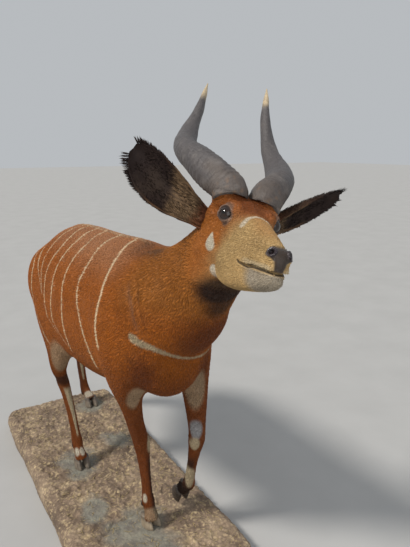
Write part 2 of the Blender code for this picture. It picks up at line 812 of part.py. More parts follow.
def dewclaws(leg, name):
    """Two small horn knobs behind the fetlock, fused to the leg."""
    rows = LEGS[name]
    place = Vector(rows[10][:3])
    ahead = (Vector(rows[11][:3]) - Vector(rows[9][:3])).normalized()
    side = Vector((1, 0, 0))
    back = ahead.cross(side).normalized()
    if back.y < 0:
        back = -back
    pieces = []
    for hand in (1, -1):
        spot = place + back * 0.026 + side * 0.013 * hand + ahead * 0.010
        pieces.append(lock(spot - back * 0.010 - ahead * 0.006, ahead + back * 0.7, ahead * 0.4,
                           0.027, 0.0075, 0.0065, back))
    return fuse(leg, pieces)


def eyelids(head):
    """Lids round each eye, a socket for the eyeball and the opening between the lids."""
    rims = [ball("rim", (EYE.x * side, EYE.y, EYE.z), (LID_R,) * 3, HEAD, 8, 14) for side in (1, -1)]
    fuse(head, rims)
    for side in (1, -1):
        look = EYE_LOOK.normalized()
        look.x *= side
        centre = Vector((EYE.x * side, EYE.y, EYE.z))
        along = Vector((0, 1, 0))
        along = (along - look * along.dot(look)).normalized()
        rise = look.cross(along) * -side
        if rise.z < 0:
            rise = -rise
        rings = []
        for depth in (0.004, 0.030):
            ring = []
            for j in range(14):
                turn = math.tau * j / 14
                high = math.sin(turn) * EYE_OPENING[1] * (1 - 0.45 * abs(math.cos(turn)) ** 2)
                wide = math.cos(turn) * EYE_OPENING[0]
                ring.append(HEAD @ (centre + look * depth + along * wide + rise * (high + wide * 0.10)))
            rings.append(ring)
        carve(head, stack("opening", rings))
        carve(head, ball("socket", centre, (EYE_R + GAP,) * 3, HEAD, 10, 16))
    return head


def surface(tree, start, aim):
    """Where a ray from inside the head leaves it, both in the head frame."""
    turn = HEAD.to_3x3()
    hit = tree.ray_cast(HEAD @ Vector(start), (turn @ Vector(aim)).normalized())
    return HEAD.inverted() @ hit[0] if hit[0] else Vector(start) + Vector(aim).normalized() * 0.03


def mouth(head):
    """Groove between the lips, from one corner round the muzzle to the other."""
    shape = bmesh.new()
    shape.from_mesh(head.data)
    tree = BVHTree.FromBMesh(shape)
    rings = []
    for i in range(MOUTH_STEPS):
        turn = math.pi * (i / (MOUTH_STEPS - 1) - 0.5) * 1.02
        share = abs(math.sin(turn)) ** 3
        start = (0.0, -0.205 + 0.055 * share, MOUTH_Z[1] + (MOUTH_Z[0] - MOUTH_Z[1]) * share)
        aim = Vector((math.sin(turn), -math.cos(turn) * 0.9, 0.0))
        spot = surface(tree, start, aim)
        aim.normalize()
        open_half = 0.0016
        rings.append([HEAD @ (spot + aim * 0.006 + Vector((0, 0, open_half * 2.2))),
                      HEAD @ (spot + aim * 0.006 - Vector((0, 0, open_half * 2.2))),
                      HEAD @ (spot - aim * 0.006 + Vector((0, 0, 0.0002)))])
    carve(head, stack("groove", rings))
    for side in (1, -1):
        spot = surface(tree, (0.004 * side, -0.225, -0.052), (side * 0.86, -0.50, 0.06))
        carve(head, ball("nostril", spot, (0.0065, 0.0095, 0.0070), HEAD, 7, 12))
    shape.free()
    return head


def base():
    """Groundwork slab with rounded corners, sloping rim and an uneven top."""
    nx, ny = BASE_CELLS
    corner = 0.10
    verts = []
    for j in range(ny + 1):
        for i in range(nx + 1):
            verts.append(base_spot(-1 + 2 * i / nx, -1 + 2 * j / ny, corner))
    faces = []
    row = nx + 1
    for j in range(ny):
        for i in range(nx):
            a = j * row + i
            if (i + j) % 2:
                faces += [(a, a + 1, a + row), (a + 1, a + row + 1, a + row)]
            else:
                faces += [(a, a + 1, a + row + 1), (a, a + row + 1, a + row)]
    rim = [i for i in range(nx)] + [nx + j * row for j in range(ny)]
    rim += [ny * row + nx - i for i in range(nx)] + [(ny - j) * row for j in range(ny)]
    count = len(rim)
    for height, out in ((0.055, 1.022), (0.0, 1.0)):
        start = len(verts)
        for k in rim:
            spot = verts[k]
            verts.append((spot[0] * out, spot[1] * (1 + (out - 1) * 0.4), height))
        for k in range(count):
            m = (k + 1) % count
            upper = rim if height else list(range(start - count, start))
            faces.append((upper[k], upper[m], start + m))
            faces.append((upper[k], start + m, start + k))
    verts.append((0.0, 0.0, 0.0))
    for k in range(count):
        faces.append((start + k, start + (k + 1) % count, len(verts) - 1))
    return add_mesh("base", verts, faces)


def base_spot(u, v, corner):
    half_x, half_y = BASE_HALF
    cut_x, cut_y = 1 - corner / half_x, 1 - corner / half_y
    s = (abs(u) - cut_x) / (1 - cut_x)
    t = (abs(v) - cut_y) / (1 - cut_y)
    x, y = u * half_x, v * half_y
    if s > 0 and t > 0:
        x = math.copysign(half_x - corner + corner * s * math.sqrt(1 - t * t / 2), u)
        y = math.copysign(half_y - corner + corner * t * math.sqrt(1 - s * s / 2), v)
    x *= 0.975
    y *= 0.985
    far = min((Vector((x, y)) - Vector(foot[0][:2])).length for foot in HOOVES.values())
    free = min(1.0, max(0.0, (far - 0.115) / 0.10))
    edge = max(abs(u), abs(v))
    height = BASE_TOP + free * 0.006 * noise.noise(Vector((x * 7, y * 7, 0.3)))
    height -= 0.020 * max(0.0, (edge - 0.90) / 0.10) ** 2
    wave = 0.008 * noise.noise(Vector((x * 3, y * 3, 5.0))) * max(0.0, edge - 0.5) * 2
    return (x + math.copysign(wave, u), y + math.copysign(wave, v), height)


def main():
    clear_file()
    nodes = part_body(flesh())
    for name in LEGS:
        dewclaws(nodes["leg_" + name], name)
    head = nodes["head"]
    head_skin = swollen(head, GAP)
    mouth(head)
    eyelids(head)
    largest(head)
    for side in (1, -1):
        eye = (EYE.x * side, EYE.y, EYE.z)
        ball(named("eye", side), eye, (EYE_R,) * 3, HEAD, 10, 16)
        spiral = horn(side)
        cup = keep_outside(ear(side), swollen(spiral, GAP))
        keep_outside(cup, head_skin)
        keep_outside(spiral, head_skin)
    keep_outside(tail(), swollen(nodes["torso"], GAP))
    for name in HOOVES:
        skin = swollen(nodes["leg_" + name], GAP)
        for claw in hoof(name):
            keep_outside(claw, skin)
        bpy.data.objects.remove(skin, do_unlink=True)
    base()
    for item in list(bpy.data.objects):
        if item.name.startswith("swollen"):
            bpy.data.objects.remove(item, do_unlink=True)


def keep_outside(item, skin):
    copy = bpy.data.objects.new("cutter", skin.data.copy())
    bpy.context.scene.collection.objects.link(copy)
    carve(item, copy)
    return largest(item)


main()
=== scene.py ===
"""Looks of the mounted bongo antelope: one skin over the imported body, its coat and the other finishes.

Units are metres, +Z is up, the animal faces -Y and its left side is +X.
"""
import math

import bmesh
import bpy
import numpy as np
from mathutils import Matrix, Vector, noise
from mathutils.bvhtree import BVHTree

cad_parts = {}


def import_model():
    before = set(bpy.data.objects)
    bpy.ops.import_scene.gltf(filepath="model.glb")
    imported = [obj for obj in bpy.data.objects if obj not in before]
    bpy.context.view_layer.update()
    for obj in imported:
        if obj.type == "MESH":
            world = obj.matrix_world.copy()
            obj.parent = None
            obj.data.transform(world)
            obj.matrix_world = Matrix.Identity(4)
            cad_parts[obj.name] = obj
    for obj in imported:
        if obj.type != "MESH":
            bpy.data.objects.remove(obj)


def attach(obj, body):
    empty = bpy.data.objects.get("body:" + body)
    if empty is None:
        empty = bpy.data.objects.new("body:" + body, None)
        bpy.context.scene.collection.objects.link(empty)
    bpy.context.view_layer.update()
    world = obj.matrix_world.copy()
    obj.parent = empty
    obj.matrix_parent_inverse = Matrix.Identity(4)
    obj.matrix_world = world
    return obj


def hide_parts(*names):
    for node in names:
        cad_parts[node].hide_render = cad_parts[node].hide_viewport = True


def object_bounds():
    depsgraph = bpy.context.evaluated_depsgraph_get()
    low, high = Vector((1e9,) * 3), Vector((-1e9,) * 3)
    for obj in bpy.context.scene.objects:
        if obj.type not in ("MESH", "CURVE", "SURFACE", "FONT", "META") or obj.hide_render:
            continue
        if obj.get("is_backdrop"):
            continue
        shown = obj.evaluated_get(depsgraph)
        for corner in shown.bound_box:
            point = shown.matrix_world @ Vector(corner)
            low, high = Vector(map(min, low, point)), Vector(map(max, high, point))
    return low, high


GAP = 0.0003
MID = 0.02
BASE_TOP = 0.09
BASE_HALF = (0.3, 0.8)

VOXEL = 0.0052

# Head frame: x to the animal's left, y backward, z up, origin between the eyes.
HEAD_LEFT = Vector((0.9072, -0.3264, -0.2681))
HEAD_BACK = Vector((0.314, 0.9458, -0.0915))
HEAD_ORIGIN = Vector((0.027, -1.027, 1.333))
EYE = Vector((0.059, -0.002, 0.0095))
EYE_R = 0.0195
LID_R = 0.0226
EYE_LOOK = Vector((0.72, -0.68, 0.1))
EYE_OPENING = (0.0178, 0.0148)

# Trunk: y, top z, bottom z, half width, fullness of the section.
TRUNK = [
    (0.6, 0.985, 0.9, 0.035, 2.0),
    (0.58, 1.03, 0.82, 0.088, 2.0),
    (0.52, 1.078, 0.73, 0.142, 2.0),
    (0.42, 1.122, 0.665, 0.184, 2.0),
    (0.3, 1.166, 0.62, 0.21, 2.0),
    (0.15, 1.188, 0.594, 0.219, 2.1),
    (0.000, 1.19, 0.587, 0.221, 2.1),
    (-0.15, 1.194, 0.598, 0.217, 2.1),
    (-0.3, 1.2, 0.625, 0.204, 2.1),
    (-0.44, 1.208, 0.662, 0.186, 2.1),
    (-0.56, 1.19, 0.7, 0.168, 2.1),
    (-0.65, 1.11, 0.755, 0.15, 2.1),
    (-0.705, 1.02, 0.84, 0.105, 2.0),
]

# Neck: x, y, z of the centre, half width, half depth.
NECK = [
    (0.02, -0.44, 0.96, 0.18, 0.234),
    (0.028, -0.56, 1.003, 0.182, 0.205),
    (0.031, -0.68, 1.058, 0.156, 0.176),
    (0.026, -0.775, 1.128, 0.111, 0.14),
    (0.028, -0.85, 1.192, 0.096, 0.115),
    (0.037, -0.915, 1.25, 0.088, 0.1),
    (0.043, -0.965, 1.285, 0.076, 0.088),
]

# Face, in the head frame: y, top z, bottom z, half width above, half width below.
FACE = [
    (-0.261, -0.056, -0.08, 0.009, 0.01),
    (-0.253, -0.045, -0.09, 0.014, 0.018),
    (-0.238, -0.035, -0.096, 0.02, 0.027),
    (-0.208, -0.024, -0.099, 0.024, 0.033),
    (-0.16, -0.008, -0.103, 0.03, 0.039),
    (-0.11, 0.006, -0.11, 0.039, 0.046),
    (-0.06, 0.019, -0.118, 0.053, 0.051),
    (-0.015, 0.036, -0.125, 0.064, 0.053),
    (0.03, 0.056, -0.124, 0.069, 0.052),
    (0.075, 0.068, -0.115, 0.069, 0.05),
    (0.115, 0.056, -0.095, 0.063, 0.046),
    (0.145, 0.02, -0.06, 0.04, 0.034),
]

# Lower jaw, in the head frame: y, top z, bottom z, half width.
JAW = [
    (-0.249, -0.098, -0.108, 0.013),
    (-0.239, -0.092, -0.121, 0.025),
    (-0.208, -0.09, -0.132, 0.03),
    (-0.16, -0.088, -0.141, 0.031),
    (-0.1, -0.085, -0.15, 0.038),
    (-0.04, -0.08, -0.158, 0.044),
    (0.015, -0.07, -0.16, 0.049),
    (0.055, -0.06, -0.15, 0.042),
    (0.08, -0.06, -0.11, 0.026),
]

# Soft forms of the head: centre and radii in the head frame; x is mirrored.
HEAD_FORMS = [
    ((0.044, -0.003, 0.016), (0.029, 0.042, 0.03)),
    ((0.046, 0.07, 0.052), (0.044, 0.044, 0.036)),
    ((0.06, 0.098, 0.004), (0.03, 0.036, 0.034)),
    ((0.03, -0.006, -0.08), (0.03, 0.062, 0.052)),
    ((0.036, 0.06, -0.06), (0.04, 0.05, 0.06)),
    ((0.0165, -0.237, -0.056), (0.012, 0.019, 0.019)),
    ((0.018, -0.206, -0.08), (0.017, 0.045, 0.014)),
]

# Legs: x, y, z of the centre, half width, half depth.
LEGS = {
    "fore_right": [
        (-0.112, -0.5, 0.9, 0.062, 0.12),
        (-0.108, -0.5, 0.8, 0.062, 0.098),
        (-0.09, -0.487, 0.72, 0.056, 0.076),
        (-0.064, -0.468, 0.64, 0.046, 0.056),
        (-0.04, -0.448, 0.545, 0.034, 0.04),
        (-0.018, -0.434, 0.47, 0.03, 0.033),
        (-0.008, -0.43, 0.43, 0.031, 0.033),
        (-0.004, -0.43, 0.385, 0.025, 0.028),
        (-0.001, -0.438, 0.31, 0.02, 0.0235),
        (0.001, -0.446, 0.235, 0.0195, 0.024),
        (0.002, -0.449, 0.2, 0.025, 0.029),
        (0.003, -0.462, 0.168, 0.0215, 0.0235),
        (0.004, -0.47, 0.142, 0.027, 0.029),
        (0.005, -0.473, 0.13, 0.028, 0.031),
    ],
    "fore_left": [
        (0.15, -0.52, 0.9, 0.062, 0.12),
        (0.15, -0.54, 0.8, 0.06, 0.098),
        (0.142, -0.56, 0.73, 0.054, 0.074),
        (0.142, -0.572, 0.65, 0.048, 0.056),
        (0.145, -0.575, 0.56, 0.037, 0.041),
        (0.148, -0.573, 0.51, 0.031, 0.033),
        (0.149, -0.567, 0.475, 0.031, 0.033),
        (0.151, -0.552, 0.43, 0.0245, 0.027),
        (0.153, -0.527, 0.35, 0.018, 0.0215),
        (0.157, -0.502, 0.275, 0.019, 0.023),
        (0.159, -0.49, 0.24, 0.0245, 0.0275),
        (0.161, -0.463, 0.208, 0.021, 0.023),
        (0.163, -0.438, 0.188, 0.0265, 0.0285),
        (0.164, -0.43, 0.182, 0.0275, 0.03),
    ],
    "hind_right": [
        (-0.105, 0.33, 0.96, 0.08, 0.17),
        (-0.125, 0.24, 0.84, 0.082, 0.165),
        (-0.136, 0.16, 0.73, 0.07, 0.13),
        (-0.143, 0.135, 0.64, 0.052, 0.088),
        (-0.146, 0.155, 0.56, 0.037, 0.057),
        (-0.128, 0.187, 0.5, 0.027, 0.043),
        (-0.117, 0.2, 0.455, 0.027, 0.041),
        (-0.11, 0.183, 0.41, 0.023, 0.031),
        (-0.103, 0.145, 0.32, 0.02, 0.025),
        (-0.101, 0.11, 0.24, 0.02, 0.025),
        (-0.1, 0.095, 0.203, 0.025, 0.029),
        (-0.101, 0.072, 0.17, 0.0215, 0.0235),
        (-0.098, 0.056, 0.142, 0.027, 0.029),
        (-0.097, 0.052, 0.13, 0.028, 0.031),
    ],
    "hind_left": [
        (0.145, 0.38, 0.96, 0.08, 0.17),
        (0.162, 0.37, 0.84, 0.078, 0.16),
        (0.17, 0.4, 0.74, 0.068, 0.13),
        (0.165, 0.46, 0.65, 0.051, 0.088),
        (0.148, 0.545, 0.56, 0.036, 0.057),
        (0.126, 0.618, 0.485, 0.0285, 0.044),
        (0.113, 0.652, 0.44, 0.029, 0.041),
        (0.111, 0.66, 0.395, 0.0245, 0.032),
        (0.114, 0.662, 0.3, 0.0215, 0.0265),
        (0.122, 0.66, 0.205, 0.0215, 0.026),
        (0.126, 0.655, 0.168, 0.0255, 0.029),
        (0.131, 0.628, 0.145, 0.022, 0.024),
        (0.134, 0.602, 0.13, 0.027, 0.029),
        (0.135, 0.596, 0.124, 0.028, 0.031),
    ],
}
# Hooves: middle of the ground face, direction of the toe, downward direction.
HOOVES = {
    "fore_right": ((0.011, -0.455, BASE_TOP + GAP), (0.22, -1.0, 0.0), (0.0, 0.0, -1.0)),
    "fore_left": ((0.166, -0.402, 0.14), (0.02, -0.5, -0.87), (0.03, 0.87, -0.5)),
    "hind_right": ((-0.095, 0.05, BASE_TOP + GAP), (0.0, -1.0, 0.0), (0.0, 0.0, -1.0)),
    "hind_left": ((0.137, 0.585, BASE_TOP + GAP), (0.0, -1.0, 0.0), (0.0, 0.0, -1.0)),
}
HOOF_LENGTH = 0.068
HOOF_HALF_WIDTH = 0.0165
HOOF_HEIGHT = 0.046
CLEFT = 0.003

# Soft forms of the trunk: centre and radii.
TRUNK_FORMS = [
    ((-0.102, -0.47, 0.93), (0.086, 0.13, 0.18)),
    ((0.142, -0.48, 0.93), (0.086, 0.13, 0.18)),
    ((0.022, -0.64, 0.95), (0.12, 0.1, 0.13)),
    ((-0.092, 0.33, 0.9), (0.114, 0.205, 0.178)),
    ((0.132, 0.345, 0.9), (0.114, 0.205, 0.178)),
    ((-0.12, 0.17, 0.8), (0.085, 0.15, 0.17)),
    ((0.158, 0.3, 0.82), (0.085, 0.16, 0.17)),
    ((0.02, -0.6, 0.835), (0.125, 0.105, 0.14)),
    ((0.02, 0.545, 1.000), (0.05, 0.05, 0.055)),
]

# Horn centreline in the head frame, from root to tip, for the left horn.
HORN_LINE = [
    (0.043, 0.055, 0.05),
    (0.052, 0.07, 0.078),
    (0.112, 0.166, 0.128),
    (0.143, 0.275, 0.172),
    (0.13, 0.371, 0.235),
    (0.106, 0.433, 0.33),
    (0.093, 0.482, 0.435),
]
# Distance along the line, as a share of its length, and radius of the horn there.
HORN_RADIUS = [(0.0, 0.04), (0.06, 0.0405), (0.2, 0.041), (0.4, 0.036), (0.6, 0.027),
               (0.8, 0.017), (0.92, 0.0095), (1.0, 0.0016)]
HORN_TURN = math.radians(300)
# The pair is a little uneven: the right horn leans back and the left one forward.
HORN_LEAN = Vector((0.047, 0.062, 0.044))

# Ears in the head frame: direction of the ear and the way its cup opens.
EAR_ROOT = {1: Vector((0.068, 0.104, -0.026)), -1: Vector((-0.068, 0.104, -0.019))}
EAR_AIM = {1: Vector((0.765, 0.2, 0.61)), -1: Vector((-0.828, 0.329, 0.455))}
EAR_FACE = {1: Vector((0.6, -0.55, -0.58)), -1: Vector((-0.31, -0.9, 0.1))}
EAR_LENGTH = 0.278
# Share of the length, half width, and half angle of the cup's arc in degrees.
EAR_SHAPE = [(0.0, 0.024, 84), (0.12, 0.03, 84), (0.25, 0.04, 76), (0.42, 0.054, 62),
             (0.58, 0.061, 52), (0.74, 0.06, 44), (0.86, 0.05, 38), (0.95, 0.034, 34),
             (1.0, 0.015, 30)]
EAR_THICK = 0.0034

TAIL_LINE = [
    (0.02, 0.54, 1.02, 0.024, 0.024),
    (0.02, 0.596, 1.022, 0.023, 0.022),
    (0.021, 0.628, 0.985, 0.019, 0.017),
    (0.024, 0.643, 0.915, 0.014, 0.012),
    (0.027, 0.648, 0.84, 0.012, 0.01),
    (0.03, 0.645, 0.74, 0.012, 0.01),
    (0.033, 0.635, 0.65, 0.011, 0.009),
    (0.034, 0.63, 0.61, 0.006, 0.005),
]


def linked(name, data):
    item = bpy.data.objects.new(name, data)
    bpy.context.scene.collection.objects.link(item)
    return item


def add_mesh(name, verts, faces):
    mesh = bpy.data.meshes.new(name)
    mesh.from_pydata([tuple(v) for v in verts], [], faces)
    mesh.validate()
    shape = bmesh.new()
    shape.from_mesh(mesh)
    bmesh.ops.recalc_face_normals(shape, faces=shape.faces)
    shape.to_mesh(mesh)
    shape.free()
    return linked(name, mesh)


def spline(stations, count):
    """Catmull-Rom points through the stations, evenly spread along them."""
    rows = [Vector(row) for row in stations]
    spans = [max((b - a).length, 1e-6) for a, b in zip(rows, rows[1:])]
    reach = [0.0]
    for span in spans:
        reach.append(reach[-1] + span)
    result = []
    for step in range(count):
        place = reach[-1] * step / (count - 1)
        i = 0
        while i < len(spans) - 1 and reach[i + 1] < place:
            i += 1
        t = (place - reach[i]) / spans[i]
        before = rows[i - 1] if i else rows[i] * 2 - rows[i + 1]
        after = rows[i + 2] if i + 2 < len(rows) else rows[i + 1] * 2 - rows[i]
        a, b = rows[i], rows[i + 1]
        result.append(0.5 * (2 * a + (b - before) * t + (2 * before - 5 * a + 4 * b - after) * t * t
                             + (3 * a - before - 3 * b + after) * t * t * t))
    return result


def ramp(table, t):
    for (a, x), (b, y) in zip(table, table[1:]):
        if t <= b:
            share = (t - a) / (b - a)
            share = share * share * (3 - 2 * share) * 0.5 + share * 0.5
            return x + (y - x) * share
    return table[-1][1]


def stack(name, rings):
    """Closed body through rings of equal count, with a fan at each end."""
    count = len(rings[0])
    verts = [v for ring in rings for v in ring]
    faces = []
    for i in range(len(rings) - 1):
        for j in range(count):
            k = (j + 1) % count
            a, b = i * count, (i + 1) * count
            faces.append((a + j, a + k, b + k, b + j))
    for ring, base in ((rings[0], 0), (rings[-1], (len(rings) - 1) * count)):
        middle = sum((Vector(v) for v in ring), Vector()) / count
        verts.append(middle)
        for j in range(count):
            faces.append((base + j, base + (j + 1) % count, len(verts) - 1))
    return add_mesh(name, verts, faces)


def power(value, exponent):
    return math.copysign(abs(value) ** exponent, value)


def trunk_body():
    rings = []
    for y, top, bottom, half, full in spline(TRUNK, 40):
        ring = []
        for j in range(28):
            turn = math.tau * j / 28
            side = power(math.cos(turn), 2 / full)
            rise = power(math.sin(turn), 2 / full)
            # The widest level lies below the middle, so the back is narrower than the belly.
            narrow = 1 - 0.16 * max(0.0, rise) ** 2
            ring.append((MID + half * side * narrow, y, (top + bottom) / 2 + (top - bottom) / 2 * rise))
        rings.append(ring)
    return stack("trunk", rings)


def tube(name, stations, count, sides=20):
    """Body round a centreline whose stations give half width and half depth."""
    rows = spline(stations, count)
    rings = []
    for i, row in enumerate(rows):
        place = Vector(row[:3])
        ahead = Vector(rows[min(i + 1, count - 1)][:3]) - Vector(rows[max(i - 1, 0)][:3])
        ahead.normalize()
        across = Vector((1, 0, 0))
        across = (across - ahead * across.dot(ahead)).normalized()
        deep = ahead.cross(across)
        rings.append([place + across * row[3] * math.cos(math.tau * j / sides)
                      + deep * row[4] * math.sin(math.tau * j / sides) for j in range(sides)])
    return stack(name, rings)


def head_matrix():
    up = HEAD_LEFT.cross(HEAD_BACK).normalized()
    left = HEAD_BACK.cross(up).normalized()
    turn = Matrix((left, HEAD_BACK.normalized(), up)).transposed()
    return Matrix.Translation(HEAD_ORIGIN) @ turn.to_4x4()


HEAD = head_matrix()


def head_rings(rows, exponent):
    rings = []
    for y, top, bottom, upper, lower in rows:
        ring = []
        for j in range(24):
            turn = math.tau * j / 24
            rise = power(math.sin(turn), 2 / exponent)
            half = lower + (upper - lower) * (rise + 1) / 2
            x = half * power(math.cos(turn), 2 / exponent)
            ring.append(HEAD @ Vector((x, y, (top + bottom) / 2 + (top - bottom) / 2 * rise)))
        rings.append(ring)
    return rings


def ball(name, centre, radii, matrix=Matrix.Identity(4), rings=12, sides=20):
    verts = []
    for i in range(1, rings):
        tilt = math.pi * i / rings
        for j in range(sides):
            turn = math.tau * j / sides
            flat = math.sin(tilt)
            spot = Vector((flat * math.cos(turn), flat * math.sin(turn), math.cos(tilt)))
            verts.append(matrix @ (Vector(centre) + Vector(a * b for a, b in zip(spot, radii))))
    rows = [verts[i * sides:(i + 1) * sides] for i in range(rings - 1)]
    top = matrix @ (Vector(centre) + Vector((0, 0, radii[2])))
    low = matrix @ (Vector(centre) - Vector((0, 0, radii[2])))
    faces = []
    for i in range(len(rows) - 1):
        for j in range(sides):
            k = (j + 1) % sides
            faces.append((i * sides + j, i * sides + k, (i + 1) * sides + k, (i + 1) * sides + j))
    verts += [top, low]
    last = (rings - 2) * sides
    for j in range(sides):
        k = (j + 1) % sides
        faces.append((j, k, len(verts) - 2))
        faces.append((last + j, last + k, len(verts) - 1))
    return add_mesh(name, verts, faces)


def mirrored(forms):
    for (x, y, z), radii in forms:
        for side in (1, -1):
            yield (x * side, y, z), radii


def join(items, name):
    """Joins the meshes' data without fusing them."""
    shape = bmesh.new()
    for item in items:
        copy = item.data.copy()
        copy.transform(item.matrix_world)
        shape.from_mesh(copy)
        bpy.data.meshes.remove(copy)
    mesh = bpy.data.meshes.new(name)
    shape.to_mesh(mesh)
    shape.free()
    for item in items:
        bpy.data.objects.remove(item, do_unlink=True)
    return linked(name, mesh)


def applied(item):
    """Bakes the modifiers into the mesh."""
    graph = bpy.context.evaluated_depsgraph_get()
    mesh = bpy.data.meshes.new_from_object(item.evaluated_get(graph))
    item.modifiers.clear()
    old = item.data
    item.data = mesh
    bpy.data.meshes.remove(old)
    mesh.name = item.name
    return item


def trunk_share(spot):
    """1 on the trunk and falling to 0 on head, feet and lower legs."""
    ahead = min(1.0, max(0.0, (spot.y + 0.93) / 0.18))
    low = min(1.0, max(0.0, (spot.z - 0.5) / 0.16))
    return ahead * low


def named(kind, side):
    return kind + ("_left" if side == 1 else "_right")


def ear_frame(side):
    aim = EAR_AIM[side].normalized()
    face = EAR_FACE[side]
    face = (face - aim * face.dot(aim)).normalized()
    across = aim.cross(face) * side
    return aim, face, across


def ear_spot(side, t, u, out):
    """Point of the ear: t along it, u across it, out behind its inner face."""
    aim, face, across = ear_frame(side)
    half = ramp([(a, b) for a, b, c in EAR_SHAPE], t)
    arc = math.radians(ramp([(a, c) for a, b, c in EAR_SHAPE], t))
    radius = half / math.sin(arc)
    turn = u * arc
    spot = EAR_ROOT[side] + aim * EAR_LENGTH * t
    # The lower edge bows out low down and the upper one near the tip, which turns a little forward.
    narrow = 0.86 if u < 0 else 1.0
    bow = 0.008 * math.sin(math.pi * t) - 0.014 * t ** 3
    spot += across * ((radius + out) * math.sin(turn) * narrow + bow)
    spot -= face * ((radius + out) * math.cos(turn) - radius * math.cos(arc))
    spot += face * 0.014 * t * t
    return HEAD @ spot


HEAD_TURN = np.array(HEAD.to_3x3())
HEAD_PLACE = np.array(HEAD.translation)
EYE_SPOTS = [np.array((EYE.x * side, EYE.y, EYE.z)) for side in (1, -1)]


def paint(red, green, blue):
    """Linear colour of an sRGB one given in 0 to 255."""
    result = []
    for value in (red, green, blue):
        value /= 255
        result.append(value / 12.92 if value < 0.04045 else ((value + 0.055) / 1.055) ** 2.4)
    return np.array(result)


CHESTNUT = paint(184, 104, 30)
# Chestnut of the top of the back where the sun falls: a painted highlight.
CHESTNUT_SUNLIT = paint(192, 140, 102)
CHESTNUT_DARK = paint(122, 62, 24)
NECK_TAN = paint(186, 120, 52)
NECK_RED = paint(116, 58, 26)
SOOT = paint(44, 31, 28)
UMBER = paint(86, 50, 30)
CREAM = paint(206, 190, 158)
# White of the knee patch as it looks in shade: painted shade.
WHITE_IN_SHADE = paint(176, 178, 182)
STRIPE_WHITE = paint(250, 222, 184)
CHALK = paint(236, 228, 208)
WITHERS_GREY = paint(84, 66, 52)
FACE_TAN = paint(212, 178, 122)
FACE_ORANGE = paint(190, 116, 48)
FOREHEAD = paint(140, 76, 36)
EYE_GREY = paint(138, 122, 112)
NOSE_BLACK = paint(36, 31, 36)
LIP = paint(222, 206, 172)
CHIN = paint(178, 172, 160)

# Levels round the trunk at which each stripe's y is given, in degrees above its middle line.
STRIPE_LEVELS = (90, 70, 55, 40, 25, 10, -5, -20, -35, -50)
TRUNK_AXIS_Z = 0.9
# Highest and lowest level that a stripe reaches, half width, and y at the levels above.
STRIPES = [
    (90, -10, 0.0058, (-0.388, -0.438, -0.453, -0.48, -0.485, -0.478, -0.479, -0.48, -0.48, -0.48)),
    (90, -48, 0.005, (-0.244, -0.253, -0.262, -0.258, -0.275, -0.299, -0.325, -0.345, -0.341, -0.33)),
    (90, -42, 0.0046, (-0.095, -0.128, -0.113, -0.114, -0.12, -0.133, -0.14, -0.14, -0.135, -0.13)),
    (90, -38, 0.0044, (0.002, -0.014, -0.003, 0.005, 0.006, -0.001, 0.002, 0.006, -0.092, -0.16)),
    (90, -30, 0.0044, (0.108, 0.083, 0.084, 0.105, 0.117, 0.106, 0.1, 0.085, -0.06, -0.12)),
    (90, 10, 0.0042, (0.15, 0.196, 0.212, 0.22, 0.2, 0.15, 0.12, 0.11, 0.1, 0.1)),
    (76, 2, 0.004, (0.4, 0.375, 0.345, 0.3, 0.256, 0.168, 0.118, 0.11, 0.1, 0.1)),
    (66, -44, 0.0042, (0.44, 0.43, 0.4, 0.36, 0.318, 0.308, 0.306, 0.29, 0.17, 0.06)),
    (58, -30, 0.004, (0.52, 0.5, 0.47, 0.432, 0.408, 0.402, 0.4, 0.38, 0.33, 0.25)),
]
# Chest band: x, y, z along it, from the right shoulder to the left one.
CHEST_BAND = [(-0.128, -0.65, 0.95), (-0.112, -0.677, 0.936), (-0.091, -0.704, 0.929),
              (-0.067, -0.721, 0.917), (-0.039, -0.732, 0.904), (0.001, -0.733, 0.887),
              (0.057, -0.717, 0.868), (0.102, -0.697, 0.864), (0.141, -0.672, 0.871),
              (0.166, -0.635, 0.9)]
# Creases where the right side of the neck meets the shoulder.
FOLDS = [
    [(-0.11, -0.655, 1.125), (-0.113, -0.671, 1.094), (-0.117, -0.687, 1.062), (-0.116, -0.7, 1.026),
     (-0.105, -0.714, 0.984)],
    [(-0.118, -0.61, 1.12), (-0.123, -0.626, 1.091), (-0.127, -0.655, 1.055), (-0.126, -0.67, 1.006),
     (-0.12, -0.68, 0.97)],
]
FOLD_DEPTH = (0.0055, 0.0045)
FOLD_WIDTH = (0.006, 0.011)
FOLD_EDGE = 0.0022
# Pale patches of the legs: leg, middle, radii, strength and colour.
LEG_MARKS = [
    ("fore_right", (-0.076, -0.552, 0.69), (0.031, 0.052, 0.074), 0.62, CREAM),
    ("fore_right", (0.016, -0.45, 0.437), (0.017, 0.024, 0.036), 1.0, CREAM),
    ("fore_right", (-0.018, -0.462, 0.221), (0.009, 0.014, 0.018), 1.0, CHALK),
    ("fore_right", (-0.002, -0.482, 0.158), (0.034, 0.034, 0.026), 0.5, CREAM),
    ("fore_left", (0.116, -0.616, 0.705), (0.036, 0.048, 0.085), 0.6, CREAM),
    # Upper part of the left knee's white patch, painted in its shaded bluish tone; the part below it is
    # cream.
    ("fore_left", (0.126, -0.602, 0.532), (0.024, 0.028, 0.042), 1.0, WHITE_IN_SHADE),
    ("fore_left", (0.13, -0.59, 0.468), (0.015, 0.032, 0.032), 1.0, CREAM),
    ("fore_left", (0.146, -0.522, 0.288), (0.018, 0.03, 0.056), 1.0, CREAM),
    ("hind_right", (-0.158, 0.066, 0.628), (0.048, 0.052, 0.09), 0.62, CREAM),
    ("hind_right", (-0.118, 0.052, 0.17), (0.012, 0.018, 0.02), 1.0, CHALK),
    ("hind_right", (-0.094, 0.046, 0.168), (0.011, 0.018, 0.02), 1.0, CHALK),
    ("hind_left", (0.158, 0.452, 0.64), (0.048, 0.066, 0.085), 0.8, CREAM),
    ("hind_left", (0.13, 0.606, 0.15), (0.026, 0.024, 0.018), 1.0, CHALK),
]


